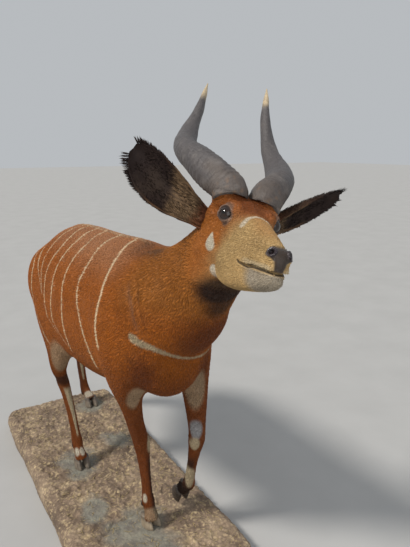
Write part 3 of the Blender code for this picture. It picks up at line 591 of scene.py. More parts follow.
def rise(low, high, value):
    """0 below low, 1 above high and a smooth rise between them."""
    t = np.clip((value - low) / (high - low), 0.0, 1.0)
    return t * t * (3 - 2 * t)


def band(low, high, value, edge):
    return rise(low - edge, low + edge, value) * (1 - rise(high - edge, high + edge, value))


def blob(points, centre, radii, edge=0.22):
    """1 inside an ellipsoid, 0 outside it, with a soft rim."""
    away = np.linalg.norm((points - np.array(centre)) / np.array(radii), axis=1)
    return 1 - rise(1 - edge, 1 + edge, away)


def line_distance(points, line):
    """Distance of each point from a line of points, and how far along it that is."""
    line = np.array(line, float)
    best = np.full(len(points), 1e9)
    along = np.zeros(len(points))
    for i, (a, b) in enumerate(zip(line, line[1:])):
        span = b - a
        t = np.clip((points - a) @ span / (span @ span), 0, 1)
        away = np.linalg.norm(points - a - t[:, None] * span, axis=1)
        near = away < best
        best[near] = away[near]
        along[near] = (i + t[near]) / (len(line) - 1)
    return best, along


def ripple(points, scale, seed=0.0):
    """Soft uneven value between -1 and 1."""
    x, y, z = (points * scale + seed).T
    value = np.sin(x * 1.3 + 2.1 * np.sin(y * 0.9 + seed)) + np.sin(y * 1.1 + 1.7 * np.sin(z * 1.2))
    value += np.sin(z * 1.4 + 1.9 * np.sin(x * 0.8 - seed)) + 0.5 * np.sin((x + y - z) * 2.3)
    return value / 3.5


def to_head(points):
    return (points - HEAD_PLACE) @ HEAD_TURN


def from_head(points):
    return points @ HEAD_TURN.T + HEAD_PLACE


def mixed(colour, tint, share):
    return colour + (tint - colour) * np.clip(share, 0, 1)[:, None]


def layered(colour, *layers):
    """Lays tints over a colour, one after another, each by its share."""
    for tint, share in layers:
        colour = mixed(colour, tint, share)
    return colour


def plain(colour, count):
    return np.repeat(colour[None], count, 0)


def unit_rows(rows):
    return rows / np.linalg.norm(rows, axis=1)[:, None]


def head_share(points):
    return (1 - rise(-0.905, -0.86, points[:, 1])) * rise(-0.188, -0.164, to_head(points)[:, 2])


def stripe_share(points):
    """1 on the narrow pale stripes of the trunk."""
    x, y, z = points.T
    level = np.degrees(np.arctan2(z - TRUNK_AXIS_Z, np.abs(x - MID)))
    near = np.zeros(len(points))
    for high, low, half, places in STRIPES:
        middle = np.interp(level, STRIPE_LEVELS[::-1], places[::-1])
        wobble = 0.003 * np.sin(level * 0.13 + half * 2000) + np.where(x > MID, 0.01, 0.0)
        inside = 1 - rise(half * 0.9, half * 1.42, np.abs(y - middle - wobble))
        inside *= rise(low - 3, low + 3, level) * (1 - rise(high - 0.5, high + 4, level))
        near = np.maximum(near, inside)
    return near * rise(-0.62, -0.58, y) * rise(0.6, 0.66, z)


def fold_distances(points):
    """Each crease of both sides, with every point's distance from it and place along it."""
    for i, line in enumerate(FOLDS):
        for turned in (line, [(2 * MID - x, y, z) for x, y, z in line]):
            yield (i, *line_distance(points, turned))


def coat_colour(points):
    """Colour of skin and coat at each point of the body."""
    x, y, z = points.T
    across = np.abs(x - MID)
    low = points * np.array((1.0, 0.4, 1.0))
    colour = plain(CHESTNUT, len(points))
    colour = mixed(colour, CHESTNUT_DARK, 0.4 * (1 - rise(0.58, 0.82, z)) + 0.22 * ripple(points, 9))
    # Painted light: the top of the back behind the withers is paler, as if lit from above.
    pale = rise(1.04, 1.18, z) * rise(-0.62, -0.4, y)
    colour = mixed(colour, CHESTNUT_SUNLIT, 0.72 * pale + 0.1 * ripple(low, 18, 2))
    neck = 1 - rise(-0.68, -0.5, y)
    colour = layered(
        colour,
        (NECK_TAN, 0.75 * neck * rise(1.00, 1.1, z)),
        (NECK_RED, 0.85 * blob(points, (0.045, -0.79, 0.985), (0.085, 0.11, 0.115), 0.55)))
    withers = blob(points, (MID, -0.58, 1.2), (0.085, 0.135, 0.042), 0.55)
    colour = mixed(colour, WITHERS_GREY, withers * (0.5 + 0.35 * ripple(low, 70, 4)))
    # Painted shade: a dark streak on each side where the shoulder meets the chest.
    for side in (1, -1):
        streak = blob(points, (MID - 0.112 * side, -0.642, 0.81), (0.036, 0.055, 0.105), 0.75)
        colour = mixed(colour, NECK_RED, 0.75 * streak)
    shaded = (1 - rise(0.72, 0.9, z)) * (1 - rise(-0.6, -0.4, y)) * rise(0.48, 0.6, z)
    colour = mixed(colour, NECK_RED, 0.55 * shaded)
    for i, away, along in fold_distances(points):
        shade = np.sin(np.clip(along, 0, 1) * math.pi) ** 0.6
        shade = shade * np.exp(-(away / (0.005 + 0.006 * i)) ** 2)
        colour = mixed(colour, (UMBER, EYE_GREY)[i], (0.75, 0.4)[i] * shade)
    colour = mixed(colour, STRIPE_WHITE, stripe_share(points))
    under = (1 - rise(0.6, 0.67, z)) * rise(-0.44, -0.36, y) * (1 - rise(0.08, 0.11, across))
    colour = mixed(colour, SOOT, 0.7 * under)
    away, along = line_distance(points, CHEST_BAND)
    wide = 0.0038 + 0.0122 * (1 - along) ** 1.2
    crescent = 1 - rise(0.7, 1.2, away / wide + 0.1 * ripple(points, 90))
    colour = mixed(colour, CREAM, crescent * (0.8 + 0.15 * (1 - along)))
    ridge = (1 - rise(0.004, 0.014, across)) * rise(1.12, 1.16, z) * rise(-0.52, -0.4, y)
    colour = mixed(colour, CREAM, 0.35 * ridge)
    colour = leg_colour(points, colour)
    # Dark throat under the jaw: partly the animal's own dark throat and partly painted shade under the
    # head.
    throat_dark_and_shade = blob(points, (0.012, -0.95, 1.148), (0.088, 0.075, 0.056), 0.4)
    throat_dark_and_shade = np.maximum(throat_dark_and_shade, 0.85 * blob(points, (0.024, -0.93, 1.095), (0.048, 0.06, 0.055), 0.5))
    colour = layered(
        colour,
        (SOOT, 0.96 * throat_dark_and_shade),
        (head_colour(to_head(points)), head_share(points) * (1 - 0.9 * throat_dark_and_shade)))
    return np.clip(colour * (1 + 0.08 * ripple(points, 60, 1))[:, None], 0.004, 1)


def leg_offset(points, name):
    """Where each point lies across and along its leg's own width at its height."""
    rows = np.array(LEGS[name])[::-1]
    height = points[:, 2]
    wide = np.interp(height, rows[:, 2], rows[:, 3])
    return ((points[:, 0] - np.interp(height, rows[:, 2], rows[:, 0])) / wide,
            (points[:, 1] - np.interp(height, rows[:, 2], rows[:, 1])) / wide)


def leg_colour(points, colour):
    x, y, z = points.T
    low = 1 - rise(0.5, 0.64, z)
    fore = y < -0.25
    colour = mixed(colour, CHESTNUT_DARK, (0.45 + 0.3 * fore) * low)
    for name in LEGS:
        side = 1 if "right" in name else -1
        here = (x > MID) if side == -1 else (x <= MID)
        here = here & (fore if "fore" in name else ~fore) & (z < 0.52)
        if name == "fore_right":
            here = fore & (z < 0.52) & (x < 0.07)
        if name == "fore_left":
            here = fore & (z < 0.6) & (x >= 0.07)
        inner, ahead = leg_offset(points, name)
        inner = inner * side
        if "fore" in name:
            dark = rise(-0.1, 0.6, inner) * (1 - rise(0.36, 0.42, z)) * here
            colour = layered(
                colour,
                (SOOT, 0.8 * dark),
                (UMBER, 0.6 * rise(0.2, 0.8, ahead) * (1 - rise(0.3, 0.46, z)) * here))
        else:
            colour = mixed(colour, UMBER, 0.85 * band(0.455, 0.52, z, 0.014) * here)
            wide = 0.2 + 0.36 * rise(0.22, 0.44, z)
            front = 1 - rise(wide * 0.8, wide * 1.25, np.abs(inner - 0.12))
            front = front * (1 - rise(-0.35, 0.0, ahead))
            colour = mixed(colour, CREAM, front * band(0.235, 0.438, z, 0.012) * here)
    dusk = (1 - rise(0.215, 0.245, z)) * fore * (x > 0.09)
    colour = mixed(colour, SOOT, 0.85 * dusk)
    for leg, centre, radii, share, tint in LEG_MARKS:
        side = (x > MID) if "left" in leg else (x <= MID + 0.03)
        colour = mixed(colour, tint, 0.92 * share * blob(points, centre, radii, 0.25) * side)
    return mixed(colour, SOOT, 0.55 * band(0.098, 0.128, z, 0.008) * (y > -0.25))


# Half width of the bare nose by its height in the head frame.
NOSE_WIDTH = ((-0.092, -0.08, -0.066, -0.056, -0.04, -0.034), (0.01, 0.011, 0.014, 0.028, 0.032, 0.024))


def nose_share(h):
    """1 on the bare dark front of the nose, wide at the nostrils and narrow at the lip."""
    wide = np.interp(h[:, 2], *NOSE_WIDTH)
    share = (1 - rise(wide - 0.003, wide + 0.003, np.abs(h[:, 0]))) * (1 - rise(-0.231, -0.221, h[:, 1]))
    return share * (1 - rise(-0.04, -0.032, h[:, 2])) * rise(-0.09, -0.083, h[:, 2])


def head_colour(h):
    x, y, z = h.T
    wide = np.abs(x)
    fine = h * np.array((1.0, 0.35, 1.0))
    colour = plain(FACE_TAN, len(h))
    orange = rise(-0.055, 0.034, y + 0.8 * (z + 0.05) + 0.012 * ripple(h, 45))
    colour = mixed(colour, FACE_ORANGE, orange)
    top = rise(-0.02, 0.02, z) * rise(-0.085, -0.03, y) * (1 - rise(0.1, 0.16, y))
    colour = layered(
        colour,
        (FOREHEAD, 0.8 * top * (1 - 0.5 * rise(0.03, 0.06, wide))),
        (CHESTNUT_DARK, 0.45 * blob(h, (0, 0.02, 0.06), (0.05, 0.06, 0.04), 0.6)),
        (CHESTNUT, 0.3 * blob(h, (0, -0.14, 0.0), (0.026, 0.07, 0.04), 0.6)),
        (UMBER, 0.16 * np.clip(ripple(fine, 80, 5), 0, 1)))
    arms = [(0.04, -0.076, -0.006), (0.024, -0.066, 0.009), (0.0, -0.06, 0.02),
            (-0.024, -0.066, 0.009), (-0.04, -0.076, -0.006)]
    away, along = line_distance(h, arms)
    thick = 0.0028 + 0.003 * np.abs(along * 2 - 1)
    colour = mixed(colour, CHALK, 0.75 * (1 - rise(thick, thick * 2.2, away)))
    for side in (1, -1):
        d = h - EYE_SPOTS[0 if side == 1 else 1]
        eye = np.linalg.norm(d, axis=1)
        colour = mixed(colour, EYE_GREY, 0.75 * (1 - rise(0.024, 0.034, eye)))
        look = eye_axes(side)[0]
        rim = np.linalg.norm(d - (d @ look)[:, None] * look, axis=1)
        lid = (1 - rise(0.0174, 0.0198, rim)) * (1 - rise(0.026, 0.03, eye))
        colour = mixed(colour, SOOT, 0.9 * lid)
        tear = h - np.array((0.072 * side, 0.046, -0.064))
        narrow = 0.018 * (1 - 0.6 * np.clip(tear[:, 2] / 0.024, -0.4, 1))
        drop = np.sqrt((tear[:, 1] / narrow) ** 2 + (tear[:, 2] / 0.024) ** 2 + (tear[:, 0] / 0.03) ** 2)
        colour = layered(
            colour,
            (CHALK, 0.97 * (1 - rise(0.85, 1.1, drop))),
            (CHALK, 0.95 * blob(h, (0.039 * side, 0.048, -0.136), (0.021, 0.016, 0.021), 0.15)))
    upper = (1 - rise(-0.15, -0.115, y)) * band(-0.088, -0.076, z, 0.004)
    colour = mixed(colour, LIP, 0.65 * upper * rise(0.01, 0.022, wide))
    chin = (1 - rise(-0.195, -0.135, y - 0.5 * (z + 0.13))) * (1 - rise(-0.097, -0.09, z))
    colour = mixed(colour, CHIN, 0.8 * chin)
    return mixed(colour, NOSE_BLACK, 0.95 * nose_share(h))


# Smoothing steps of the whole body and of the trunk, and the share of faces kept after them.
EVEN_STEPS = 13
WIDE_STEPS = 190
TRUNK_KEPT = 0.62


def build_skin():
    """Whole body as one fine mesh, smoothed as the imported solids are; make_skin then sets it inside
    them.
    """
    pieces = [trunk_body(), tube("neck_form", NECK, 26, 24)]
    pieces.append(stack("face_form", head_rings(spline(FACE, 34), 2.3)))
    jaw = [(y, top, bottom, half, half) for y, top, bottom, half in JAW]
    pieces.append(stack("jaw_form", head_rings(spline(jaw, 26), 2.2)))
    for centre, radii in mirrored(HEAD_FORMS):
        pieces.append(ball("form", centre, radii, HEAD))
    for centre, radii in TRUNK_FORMS:
        pieces.append(ball("form", centre, radii))
    for name, stations in LEGS.items():
        pieces.append(tube(name, stations, 44))
    body = join(pieces, "skin")
    step = body.modifiers.new("remesh", "REMESH")
    step.mode = "VOXEL"
    step.voxel_size = VOXEL
    step.adaptivity = 0.0
    applied(body)
    group = body.vertex_groups.new(name="soft")
    for v in body.data.vertices:
        group.add([v.index], trunk_share(v.co), "REPLACE")
    even = body.modifiers.new("even", "SMOOTH")
    even.factor = 0.5
    even.iterations = EVEN_STEPS
    wide = body.modifiers.new("wide", "SMOOTH")
    wide.factor = 0.9
    wide.iterations = WIDE_STEPS
    wide.vertex_group = "soft"
    applied(body)
    thin = body.modifiers.new("thin", "DECIMATE")
    thin.ratio = TRUNK_KEPT
    thin.vertex_group = "soft"
    applied(body)
    body.vertex_groups.clear()
    return body


def unwrap(item):
    bpy.context.view_layer.objects.active = item
    item.select_set(True)
    item.data.uv_layers.new(name="OFBake")
    bpy.ops.object.mode_set(mode="EDIT")
    bpy.ops.mesh.select_all(action="SELECT")
    bpy.ops.uv.smart_project(angle_limit=math.radians(60), island_margin=0.002)
    bpy.ops.object.mode_set(mode="OBJECT")
    item.select_set(False)


def subdivide_where(item, chosen):
    """Splits once the faces whose middle is chosen, with triangles all round."""
    shape = bmesh.new()
    shape.from_mesh(item.data)
    bmesh.ops.triangulate(shape, faces=shape.faces)
    middles = np.array([f.calc_center_median() for f in shape.faces])
    keep = chosen(middles)
    edges = {e for f, yes in zip(shape.faces, keep) if yes for e in f.edges}
    bmesh.ops.subdivide_edges(shape, edges=list(edges), cuts=1, smooth=0.0)
    bmesh.ops.triangulate(shape, faces=[f for f in shape.faces if len(f.verts) > 3])
    shape.to_mesh(item.data)
    shape.free()


def read_rows(items, name, width=3, kind=float):
    found = np.empty(len(items) * width, kind)
    items.foreach_get(name, found)
    return found.reshape(-1, width)


def vert_array(mesh):
    return read_rows(mesh.vertices, "co")


def normal_array(mesh):
    return read_rows(mesh.vertices, "normal")


def set_verts(mesh, points):
    mesh.vertices.foreach_set("co", points.ravel())
    mesh.update()


def smooth_some(item, share, factor, repeat):
    """Smooths the vertices by their share between 0 and 1."""
    group = item.vertex_groups.new(name="some")
    for index in np.nonzero(share > 0.01)[0]:
        group.add([int(index)], float(share[index]), "REPLACE")
    step = item.modifiers.new("smooth", "SMOOTH")
    step.factor = factor
    step.iterations = repeat
    step.vertex_group = "some"
    applied(item)
    item.vertex_groups.clear()


def eye_axes(side):
    look = np.array(EYE_LOOK.normalized())
    look[0] *= side
    along = np.array((0.0, 1.0, 0.0))
    along -= look * along.dot(look)
    along /= np.linalg.norm(along)
    up = np.cross(look, along) * -side
    return look, along, up if up[2] > 0 else -up


def shape_lids(h):
    """Pushes the skin out to the lids' ball and back behind the eyeball in the opening."""
    for side, centre in zip((1, -1), EYE_SPOTS):
        look, along, up = eye_axes(side)
        away = h - centre
        reach = np.linalg.norm(away, axis=1)
        front = away @ look > -0.004
        near = front & (reach < 0.045)
        d = away[near]
        r = reach[near]
        unit = d / r[:, None] * EYE_R
        a = unit @ along / EYE_OPENING[0]
        tall = EYE_OPENING[1] * (1 - 0.35 * np.clip(np.abs(a), 0, 1) ** 2)
        b = (unit @ up - 0.1 * (unit @ along)) / tall
        scale = np.where(d @ look > 0, 1.0, 3.0)
        opening = np.sqrt(a * a + b * b) * scale
        turned = np.clip(np.arccos(np.clip(d @ look / r, -1, 1)) - 0.95, 0, 2)
        low_r = np.minimum(r, LID_R + 0.001 + 0.02 * turned)
        lid = 0.5 * (low_r + LID_R + np.sqrt((low_r - LID_R) ** 2 + 0.0024 ** 2))
        lid += 0.0011 * np.exp(-((opening - 1.1) / 0.1) ** 2)
        lid -= 0.001 * np.exp(-((opening - 1.42) / 0.1) ** 2)
        lid -= 0.0006 * np.exp(-((opening - 1.8) / 0.1) ** 2) * (b > 0)
        inner = EYE_R - 0.0035
        target = inner + (lid - inner) * rise(0.9, 1.06, opening)
        fade = rise(0.034, 0.045, r)
        target = target * (1 - fade) + r * fade
        h[near] = centre + d / r[:, None] * target[:, None]
    return h


# Height of the line between the lips, by how far round it is: front, sides and corner.
LIP_LINE = ((0.0, 0.24, 0.46, 0.7, 0.85, 1.0), (-0.0895, -0.0872, -0.0875, -0.0915, -0.0905, -0.088))
NOSTRIL = (0.0235, -0.247, -0.0465)


def mouth_line(tree):
    """Line between the lips, in the head frame, from one corner round to the other."""
    turn = HEAD.to_3x3()
    line = []
    for i in range(49):
        share = abs(i / 24 - 1)
        angle = math.copysign(min(share / 0.7, 1.0) * math.pi / 2, i - 24)
        back = max(0.0, share - 0.7) / 0.3
        place = -0.205 + 0.055 * abs(math.sin(angle)) ** 3 + 0.046 * back
        start = Vector((0.0, place, float(np.interp(share, *LIP_LINE))))
        aim = Vector((math.sin(angle), -math.cos(angle) * 0.9, 0.0))
        hit = tree.ray_cast(HEAD @ start, (turn @ aim).normalized())[0]
        line.append(tuple(HEAD.inverted() @ hit) if hit else tuple(start + aim * 0.03))
    return line


def nostril_spots(tree):
    spots = []
    for side in (1, -1):
        hit = tree.find_nearest(HEAD @ Vector((NOSTRIL[0] * side, NOSTRIL[1], NOSTRIL[2])))[0]
        spots.append(np.array(HEAD.inverted() @ hit))
    return spots


def surface_tree(item):
    return BVHTree.FromPolygons([tuple(v) for v in vert_array(item.data)],
                                [tuple(p.vertices) for p in item.data.polygons])


def face_details(item):
    """Lids, mouth, lips, nostrils and the folds of the head."""
    tree = surface_tree(item)
    line = mouth_line(tree)
    holes = nostril_spots(tree)
    points = vert_array(item.data)
    normals = normal_array(item.data) @ HEAD_TURN
    h = to_head(points)
    head = h[:, 1] < 0.12
    away = line_distance(h, line)[0]
    groove = 0.0062 * np.exp(-(away / 0.0028) ** 2)
    lip_up = 0.0018 * np.exp(-((away - 0.0068) / 0.0032) ** 2)
    move = -groove + lip_up
    for side, hole in zip((1, -1), holes):
        d = h - hole
        axis = np.array((side * 0.45, -0.3, 0.84))
        axis /= np.linalg.norm(axis)
        up = d @ axis
        flat = np.linalg.norm(d - up[:, None] * axis, axis=1)
        q = np.sqrt((up / 0.0082) ** 2 + (flat / 0.0066) ** 2)
        move -= 0.01 * (1 - rise(0.45, 1.05, q))
        move += 0.003 * np.exp(-((q - 1.42) / 0.36) ** 2)
    folds = 0.0006 * np.sin(h[:, 1] * 420 + 3 * np.abs(h[:, 0]) * 60)
    folds *= blob(h, (0, -0.13, -0.045), (0.06, 0.05, 0.035), 0.6)
    move += np.where(head, folds, 0.0)
    h = h + normals * (move * head)[:, None]
    h[head] = shape_lids(h[head])
    points[head] = from_head(h[head])
    set_verts(item.data, points)
    return line, holes


class Shade:
    """One procedural material under construction."""

    def __init__(self, name, rough=0.6, specular=0.5, **sockets):
        self.material = bpy.data.materials.new(name)
        self.material.use_nodes = True
        self.tree = self.material.node_tree
        self.shader = self.tree.nodes["Principled BSDF"]
        self.shader.inputs["Roughness"].default_value = rough
        self.shader.inputs["Specular IOR Level"].default_value = specular
        for key, value in sockets.items():
            self.shader.inputs[key.replace("_", " ").title()].default_value = value

    def node(self, kind, links=None, **settings):
        made = self.tree.nodes.new(kind)
        for key, value in settings.items():
            setattr(made, key, value)
        for key, value in (links or {}).items():
            if isinstance(value, bpy.types.NodeSocket):
                self.tree.links.new(value, made.inputs[key])
            else:
                made.inputs[key].default_value = value
        return made

    def mapped(self, place, kind, value):
        return self.node("ShaderNodeMapping", {"Vector": place, kind: value}).outputs["Vector"]

    def place(self, stretch=(1, 1, 1)):
        return self.mapped(self.node("ShaderNodeTexCoord").outputs["Object"], "Scale", stretch)

    def noise(self, scale, detail=4.0, stretch=(1, 1, 1), place=None, rough=0.55):
        place = place or self.place(stretch)
        links = {"Vector": place, "Scale": scale, "Detail": detail, "Roughness": rough}
        return self.node("ShaderNodeTexNoise", links).outputs["Fac"]

    def cells(self, scale, feature="F1", place=None):
        links = {"Vector": place or self.place(), "Scale": scale}
        return self.node("ShaderNodeTexVoronoi", links, feature=feature).outputs["Distance"]

    def span(self, value, low, high, out_low=0.0, out_high=1.0):
        links = {"Value": value, "From Min": low, "From Max": high,
                 "To Min": out_low, "To Max": out_high}
        return self.node("ShaderNodeMapRange", links).outputs["Result"]

    def colours(self, value, stops):
        """Colour ramp through (place, red, green, blue)."""
        made = self.node("ShaderNodeValToRGB", {"Fac": value})
        ramp_points = made.color_ramp.elements
        for i, (place, *colour) in enumerate(stops):
            point = ramp_points[i] if i < 2 else ramp_points.new(place)
            point.position = place
            point.color = (*paint(*colour), 1.0)
        return made.outputs["Color"]

    def attribute(self, name="Col"):
        return self.node("ShaderNodeAttribute", attribute_name=name).outputs["Color"]

    def mix(self, share, first, second, kind="MIX"):
        made = self.node("ShaderNodeMix", data_type="RGBA", blend_type=kind)
        for index, value in ((0, share), (6, first), (7, second)):
            if isinstance(value, bpy.types.NodeSocket):
                self.tree.links.new(value, made.inputs[index])
            elif index:
                made.inputs[index].default_value = (*value, 1.0)
            else:
                made.inputs[0].default_value = value
        return made.outputs[2]

    def varied(self, share, dark, light):
        """The painted colour, darker and lighter by a share."""
        return self.mix(1.0, self.attribute(), self.mix(share, dark, light), "MULTIPLY")

    def tinted(self, colour, span, red, green, blue):
        """Another tint where the span is high."""
        return self.mix(self.span(*span), colour, tuple(paint(red, green, blue)))

    def math(self, kind, first, second):
        return self.node("ShaderNodeMath", {0: first, 1: second}, operation=kind).outputs[0]

    def sum(self, *parts):
        total = None
        for value, share in parts:
            part = self.math("MULTIPLY", value, share)
            total = part if total is None else self.math("ADD", total, part)
        return total

    def finish(self, colour, height=None, depth=0.001, strength=0.6, rough=None):
        self.tree.links.new(colour, self.shader.inputs["Base Color"])
        if rough is not None:
            self.tree.links.new(rough, self.shader.inputs["Roughness"])
        if height is not None:
            links = {"Height": height, "Distance": depth, "Strength": strength}
            bump = self.node("ShaderNodeBump", links)
            self.tree.links.new(bump.outputs["Normal"], self.shader.inputs["Normal"])
        return self.material


def coat_material(name, fine):
    """Colour from the coat's own marks, broken up hair by hair."""
    shade = Shade(name, 0.62, 0.18)
    hair = shade.noise(700, 3, (1.0, 0.35, 1.0))
    clump = shade.noise(90, 4)
    dust = shade.noise(11, 5)
    colour = shade.varied(shade.span(hair, 0.3, 0.7, 0.0, 0.55), (0.62, 0.6, 0.58), (1.28, 1.26, 1.22))
    tone = shade.mix(shade.span(clump, 0.35, 0.7, 0.0, 0.45), (1.0, 1.0, 1.0), (0.74, 0.7, 0.68))
    colour = shade.mix(1.0, colour, tone, "MULTIPLY")
    colour = shade.tinted(colour, (dust, 0.5, 0.75, 0.0, 0.05), 190, 168, 140)
    height = shade.sum((hair, 0.7), (clump, 0.6))
    rough = shade.span(dust, 0.3, 0.7, 0.52, 0.78)
    return shade.finish(colour, height, 0.0012 if fine else 0.0022, 0.6, rough)


def skin_material():
    shade = Shade("skin", 0.6, 0.35)
    hair = shade.noise(620, 4, (1.0, 0.3, 1.0))
    clump = shade.noise(130, 4)
    wet = shade.attribute("Wet")
    colour = shade.varied(shade.span(hair, 0.3, 0.7), (0.6, 0.58, 0.56), (1.14, 1.12, 1.1))
    colour = shade.tinted(colour, (clump, 0.4, 0.7, 0.0, 0.3), 60, 40, 28)
    pores = shade.cells(420)
    height = shade.sum((hair, 0.6), (clump, 0.5), (pores, 0.35))
    rough = shade.span(wet, 0.0, 1.0, 0.72, 0.22)
    return shade.finish(colour, height, 0.002, 0.7, rough)


def horn_material():
    shade = Shade("horn", 0.45)
    spot = shade.node("ShaderNodeUVMap", uv_map="Along").outputs["UV"]
    lines = shade.noise(6, 6, place=shade.mapped(spot, "Scale", (26, 3.5, 1)))
    rings = shade.noise(2.2, 5, place=shade.mapped(spot, "Scale", (2.2, 90, 1)))
    patch = shade.noise(26, 5)
    bark = shade.cells(130)
    colour = shade.varied(shade.span(lines, 0.3, 0.7), (0.5, 0.49, 0.5), (1.3, 1.28, 1.28))
    colour = shade.tinted(colour, (patch, 0.56, 0.74, 0.0, 0.4), 132, 126, 122)
    colour = shade.tinted(colour, (rings, 0.52, 0.7, 0.0, 0.55), 44, 39, 38)
    colour = shade.tinted(colour, (bark, 0.25, 0.0, 0.0, 0.25), 50, 44, 42)
    height = shade.sum((lines, 0.6), (rings, 0.9), (patch, 0.3), (bark, 0.3))
    rough = shade.span(patch, 0.3, 0.7, 0.36, 0.6)
    return shade.finish(colour, height, 0.0022, 0.8, rough)


def hoof_material():
    shade = Shade("hoof", 0.5)
    grain = shade.noise(120, 5, (1, 1, 0.18))
    rings = shade.noise(60, 3, (0.2, 0.2, 3.0))
    colour = shade.varied(shade.span(grain, 0.3, 0.7), (0.6, 0.6, 0.6), (1.25, 1.22, 1.18))
    colour = shade.tinted(colour, (rings, 0.5, 0.7, 0.0, 0.45), 128, 116, 100)
    height = shade.sum((grain, 0.5), (rings, 0.8))
    return shade.finish(colour, height, 0.0012, 0.7, shade.span(grain, 0.3, 0.7, 0.42, 0.66))


def eye_material():
    shade = Shade("eye", 0.05, 0.4, coat_weight=0.3, coat_roughness=0.03)
    fibre = shade.noise(260, 4)
    colour = shade.varied(shade.span(fibre, 0.35, 0.65), (0.55, 0.55, 0.55), (1.5, 1.4, 1.3))
    return shade.finish(colour, fibre, 0.0001, 0.15)


# Directions in which the straw in the clay lies.
STRAW_ANGLES = (0.3, 1.1, 1.9, 2.7)


def ground_material():
    """Dried clay mixed with chopped straw, greyer on the worn stones under the feet."""
    shade = Shade("groundwork", 0.85)
    clay = shade.noise(9, 8)
    grit = shade.noise(160, 5)
    crumbs = shade.cells(70)
    straw = None
    for i, angle in enumerate(STRAW_ANGLES):
        found = shade.node("ShaderNodeTexCoord").outputs["Object"]
        turned = shade.mapped(found, "Rotation", (0, 0, angle))
        fibre = shade.noise(110, 3, place=shade.mapped(turned, "Scale", (0.13, 1.0, 1.0)))
        where = shade.mapped(found, "Location", (3.1 * i, 1.7 * i, 0))
        part = shade.math("MULTIPLY", fibre, shade.span(shade.noise(22, 2, place=where), 0.48, 0.58))
        straw = part if straw is None else shade.math("MAXIMUM", straw, part)
    stone = shade.attribute()
    colour = shade.colours(clay, [(0.3, 92, 76, 62), (0.72, 184, 162, 134), (0.5, 138, 118, 98)])
    colour = shade.tinted(colour, (straw, 0.5, 0.62, 0.0, 0.7), 202, 180, 140)
    colour = shade.tinted(colour, (crumbs, 0.3, 0.55, 0.0, 0.4), 78, 64, 54)
    colour = shade.tinted(colour, (grit, 0.55, 0.75, 0.0, 0.5), 64, 54, 46)
    grey = shade.colours(shade.noise(30, 6), [(0.3, 98, 96, 92), (0.72, 136, 138, 126)])
    colour = shade.mix(shade.span(stone, 0.0, 1.0, 0.0, 0.88), colour, grey)
    height = shade.sum((clay, 0.9), (grit, 0.5), (crumbs, -0.6), (straw, 0.5))
    return shade.finish(colour, height, 0.005, 0.85, shade.span(grit, 0.3, 0.7, 0.72, 0.95))


def straw_material():
    shade = Shade("straw", 0.75)
    fibre = shade.noise(240, 3, (1, 1, 1))
    colour = shade.colours(fibre, [(0.3, 126, 104, 66), (0.7, 198, 178, 128)])
    return shade.finish(colour, fibre, 0.0006, 0.5)


def floor_material():
    shade = Shade("floor", 0.8)
    grain = shade.noise(3, 3)
    colour = shade.mix(shade.span(grain, 0.3, 0.7), (0.4, 0.4, 0.395), (0.43, 0.43, 0.425))
    return shade.finish(colour, grain, 0.0005, 0.1)


def set_colours(mesh, colours, name="Col"):
    layer = mesh.color_attributes.new(name, "FLOAT_COLOR", "POINT")
    data = np.ones((len(mesh.vertices), 4), np.float32)
    data[:, :3] = colours
    layer.data.foreach_set("color", data.ravel())


def dressed(item, material, slot, *nodes):
    """Gives the piece its material, lets it ride and stand for its nodes; its slot is not used."""
    item.data.materials.clear()
    item.data.materials.append(material)
    for polygon in item.data.polygons:
        polygon.use_smooth = True
    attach(item, "root")
    if nodes:
        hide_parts(*nodes)
    return item


# Zones of the coat: length and half width of a tuft, its tip's lift, tufts per square metre.
COAT_ZONES = {
    "trunk": (0.0128, 0.00158, 0.0024, 34000),
    "neck": (0.0142, 0.00158, 0.0034, 37000),
    "leg": (0.0087, 0.0013, 0.0018, 53000),
    "head": (0.0064, 0.00094, 0.0012, 97000),
}
PIECE_TUFTS = 19500


def hair_lie(points, normals):
    """Way the coat lies at each point, along the skin."""
    x, y, z = points.T
    count = len(points)
    side = np.sign(x - MID)
    flow = np.zeros((count, 3))
    flow[:, 1] = 1.0
    flow[:, 2] = -0.42 * rise(0.02, 0.16, np.abs(x - MID))
    chest = (1 - rise(-0.66, -0.4, y))[:, None]
    flow = flow * (1 - chest) + chest * np.stack([0.1 * side, 0.62 + 0 * y, -0.8 + 0 * y], 1)
    low = (1 - rise(0.58, 0.82, z))[:, None]
    trunk_low = rise(0.6, 0.72, z)[:, None]
    flow = flow * (1 - low) + low * np.stack([0 * x, 0.1 + 0.5 * trunk_low[:, 0], -1.0 + 0 * z], 1)
    head = head_share(points)[:, None]
    h = to_head(points)
    droop = -0.35 * rise(0.02, 0.06, np.abs(h[:, 0]))
    face = np.stack([0.3 * np.sign(h[:, 0]), 1.0 + 0 * h[:, 1], droop], 1)
    flow = flow * (1 - head) + head * (face @ HEAD_TURN.T)
    flow -= normals * np.sum(flow * normals, 1)[:, None]
    length = np.linalg.norm(flow, axis=1)
    return flow / np.maximum(length, 1e-6)[:, None]


def bare_share(points):
    """1 where no coat grows: the bare nose and the lids."""
    h = to_head(points)
    bare = nose_share(h)
    for centre in EYE_SPOTS:
        bare = np.maximum(bare, 1 - rise(0.0235, 0.0262, np.linalg.norm(h - centre, axis=1)))
    return bare


